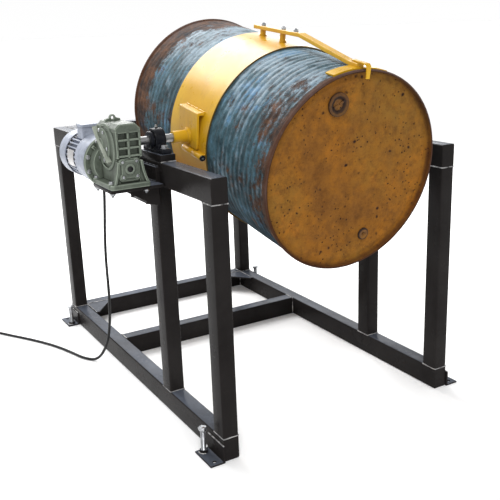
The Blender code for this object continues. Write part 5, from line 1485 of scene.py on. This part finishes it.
def build_bung(size, x, h, hole):
    place = DRUM_AXIS @ Matrix.Translation((x - DRUM_X, -0.428, h + DRUM_DROP)) @ ALONG_Y.inverted()
    lip = hole + 0.005
    shape = bmesh.new()
    if size == "large":
        profile = [(0, 0.002), (0.009, 0.002), (0.01, 0.0006), (0.019, 0.0004), (0.0205, 0.003),
                   (0.024, 0.005), (0.0262, 0.0058), (lip - 0.003, 0.006), (lip - 0.0006, 0.0048),
                   (lip, 0.0022), (lip - 0.0002, 0.0004), (hole - 0.0004, 0.0004), (hole - 0.0004, -0.007),
                   (hole - 0.003, -0.01), (0, -0.01)]
    else:
        profile = [(0, 0.001), (0.005, 0.001), (0.006, 0.0036), (0.01, 0.0052), (lip - 0.003, 0.0058),
                   (lip - 0.0005, 0.0042), (lip, 0.002), (lip, 0.0004), (hole - 0.0004, 0.0004),
                   (hole - 0.0004, -0.007), (0, -0.0075)]
    add_turned(shape, profile, UP, 64)
    if size == "large":
        for turn in (0.5, 0.5 + math.pi):
            add_box(shape, (0.003, -0.0028, 0.001), (0.02, 0.0028, 0.0052), Matrix.Rotation(turn, 4, "Z"),
                    0.001)
    else:
        add_box(shape, (-0.0045, -0.0016, 0.0005), (0.0045, 0.0016, 0.004), Matrix.Rotation(0.7, 4, "Z"),
                0.0006)
    piece(f"{size}_bung_cap", shape, BUNG, "cradle", place, [f"drum_{size}_bung"], 32)


def build_drum():
    build_drum_shell()
    build_head("front_drum_end", "drum_front_head", -1, [(x, h, hole) for _, x, h, hole in BUNGS])
    build_head("rear_drum_end", "drum_rear_head", 1, [])
    for bung in BUNGS:
        build_bung(*bung)


# ---- cord and plug --------------------------------------------------------------------------------
def add_curve(name, points, radius, material):
    """A round cord as one open spline."""
    data = bpy.data.curves.new(name, "CURVE")
    data.dimensions = "3D"
    data.bevel_depth = radius
    data.bevel_resolution = 5
    data.use_fill_caps = True
    spline = data.splines.new("POLY")
    spline.points.add(len(points) - 1)
    for slot, point in zip(spline.points, points):
        slot.co = (*point, 1.0)
    spline.use_smooth = True
    data.materials.append(material)
    item = bpy.data.objects.new(name, data)
    bpy.context.scene.collection.objects.link(item)
    return item


def build_cord():
    points = cord_points()
    cord = add_curve("power_cord_run", points, CORD_RADIUS, RUBBER)
    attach(cord, "frame")
    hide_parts("power_cord", "power_cord_coil")
    plug_items = build_plug()
    build_strain_relief(points)


def build_strain_relief(points):
    shape = bmesh.new()
    line, travelled = [points[0]], 0.0
    for a, b in zip(points, points[1:]):
        travelled += (b - a).length
        line.append(b)
        if travelled > 0.036:
            break
    line = [p - ORIGIN for p in line]
    fine = spread(line, 0.0009)
    count = len(fine) - 1

    def size(i):
        share = i / count
        ring = 0.0007 if (i // 3) % 2 and share < 0.85 else 0.0
        return 0.0083 - 0.0027 * share - ring
    add_tube(shape, fine, size, 24)
    piece("cord_strain_relief", shape, RUBBER, "frame", MACHINE, crease=50)


def build_plug():
    """A round moulded plug with a grip and three flat pins, lying at the end of the coil."""
    x, z = COIL_CENTRE[0] - 0.0625, 0.0183
    place = shift(x, 0, z, Matrix.Rotation(math.pi / 2, 4, "X"))
    shape = bmesh.new()
    collar = [(0, -1.3598), (0.007, -1.3598), (0.008, -1.358), (0.0092, -1.34), (0.012, -1.333),
              (0.015, -1.329), (0.0155, -1.325), (0.014, -1.32), (0.014, -1.318), (0.0165, -1.314),
              (0.0178, -1.308), (0.018, -1.301), (0.0176, -1.3), (0.018, -1.299), (0.018, -1.292),
              (0.0172, -1.2905), (0, -1.2905)]
    add_turned(shape, collar, place, 48)
    for i in range(5):
        y = 1.355 - 0.0034 * i
        add_turned(shape, [(0.007, -y - 0.0009), (0.0098 + 0.0002 * i, -y - 0.0009),
                           (0.0101 + 0.0002 * i, -y), (0.0098 + 0.0002 * i, -y + 0.0009),
                           (0.007, -y + 0.0009)], place, 32)
    for turn in (0.0, math.pi):
        for k in range(4):
            add_box(shape, (0.0172, -0.006, -1.313 + 0.004 * k), (0.0182, 0.006, -1.3112 + 0.004 * k),
                    place @ Matrix.Rotation(turn, 4, "Z"), 0.0003, 1)
    body = piece("plug_moulding", shape, RUBBER, "frame", MACHINE, ["power_plug"], 35)
    pins = bmesh.new()
    for turn in (math.pi / 2, math.pi / 2 + 2 * math.pi / 3, math.pi / 2 + 4 * math.pi / 3):
        centre = Matrix.Rotation(turn, 4, "Z") @ Matrix.Translation((0.0075, 0, 0))
        add_box(pins, (-0.0009, -0.0031, -1.2906), (0.0009, 0.0031, -1.283), place @ centre, 0.0004)
    metal = piece("plug_pins", pins, ZINC, "frame", MACHINE, crease=30)
    return [body, metal]


# ---- floor, light and world -----------------------------------------------------------------------
def make_stage():
    shape = bmesh.new()
    corners = [(-90, -90), (90, -90), (90, 90), (-90, 90)]
    shape.faces.new([shape.verts.new((x, y, ORIGIN.z - 0.0006)) for x, y in corners])
    floor = bpy.data.objects.new("floor", to_mesh(shape))
    bpy.context.scene.collection.objects.link(floor)
    finish = Finish("pale_floor", 0.7)
    finish.shader.inputs["Base Color"].default_value = (0.96, 0.96, 0.96, 1.0)
    finish.shader.inputs["Specular IOR Level"].default_value = 0.1
    finish.shader.inputs["Emission Color"].default_value = (1.0, 1.0, 1.0, 1.0)
    finish.shader.inputs["Emission Strength"].default_value = 0.06
    floor.data.materials.append(finish.material)


def add_light(name, kind, place, target, power, size):
    data = bpy.data.lights.new(name, kind)
    data.energy = power
    if kind == "SUN":
        data.angle = size
    else:
        data.shape = "RECTANGLE"
        data.size, data.size_y = size
    item = bpy.data.objects.new(name, data)
    item.location = place
    item.rotation_euler = (Vector(target) - Vector(place)).to_track_quat("-Z", "Y").to_euler()
    bpy.context.scene.collection.objects.link(item)


def make_light():
    """A white studio: bright at the horizon, softer overhead, with a key and a softbox behind."""
    world = bpy.data.worlds.new("studio")
    world.use_nodes = True
    tree = world.node_tree
    back = tree.nodes["Background"]
    place = tree.nodes.new("ShaderNodeTexCoord").outputs["Generated"]
    split = tree.nodes.new("ShaderNodeSeparateXYZ")
    tree.links.new(place, split.inputs[0])
    ramp = tree.nodes.new("ShaderNodeValToRGB")
    tree.links.new(split.outputs["Z"], ramp.inputs[0])
    stops = ramp.color_ramp.elements
    for spot, level in ((0.0, 1.0), (0.35, 0.9), (0.6, 0.5), (1.0, 0.62)):
        stop = stops[0] if spot == 0.0 else (stops[-1] if spot == 1.0 else stops.new(spot))
        stop.position = spot
        stop.color = (level, level, level, 1.0)
    tree.links.new(ramp.outputs[0], back.inputs["Color"])
    back.inputs["Strength"].default_value = 1.0
    bpy.context.scene.world = world
    middle = ORIGIN + Vector((0.4, 0.45, 0.95))
    add_light("key", "SUN", middle + Vector((-1.2, -2.4, 3.0)), middle, 1.55, math.radians(22))
    add_light("softbox", "AREA", middle + Vector((-0.15, 2.5, 2.35)), middle, 150, (2.8, 1.8))
    add_light("low_softbox", "AREA", middle + Vector((1.6, 4.2, 1.35)), middle, 95, (5.0, 1.4))
    bpy.context.scene.view_settings.view_transform = "Standard"


# ---- build ----------------------------------------------------------------------------------------
build_frame()
bearing("left", TUBE_WIDTH / 2)
bearing("right", FRAME_WIDTH - TUBE_WIDTH / 2)
build_gearbox()
build_motor()
dress_inner_parts()
build_bands()
for side in ("left", "right"):
    build_trunnion(side)
build_shafts()
build_hold_down()
build_drum()
build_cord()
make_stage()
make_light()
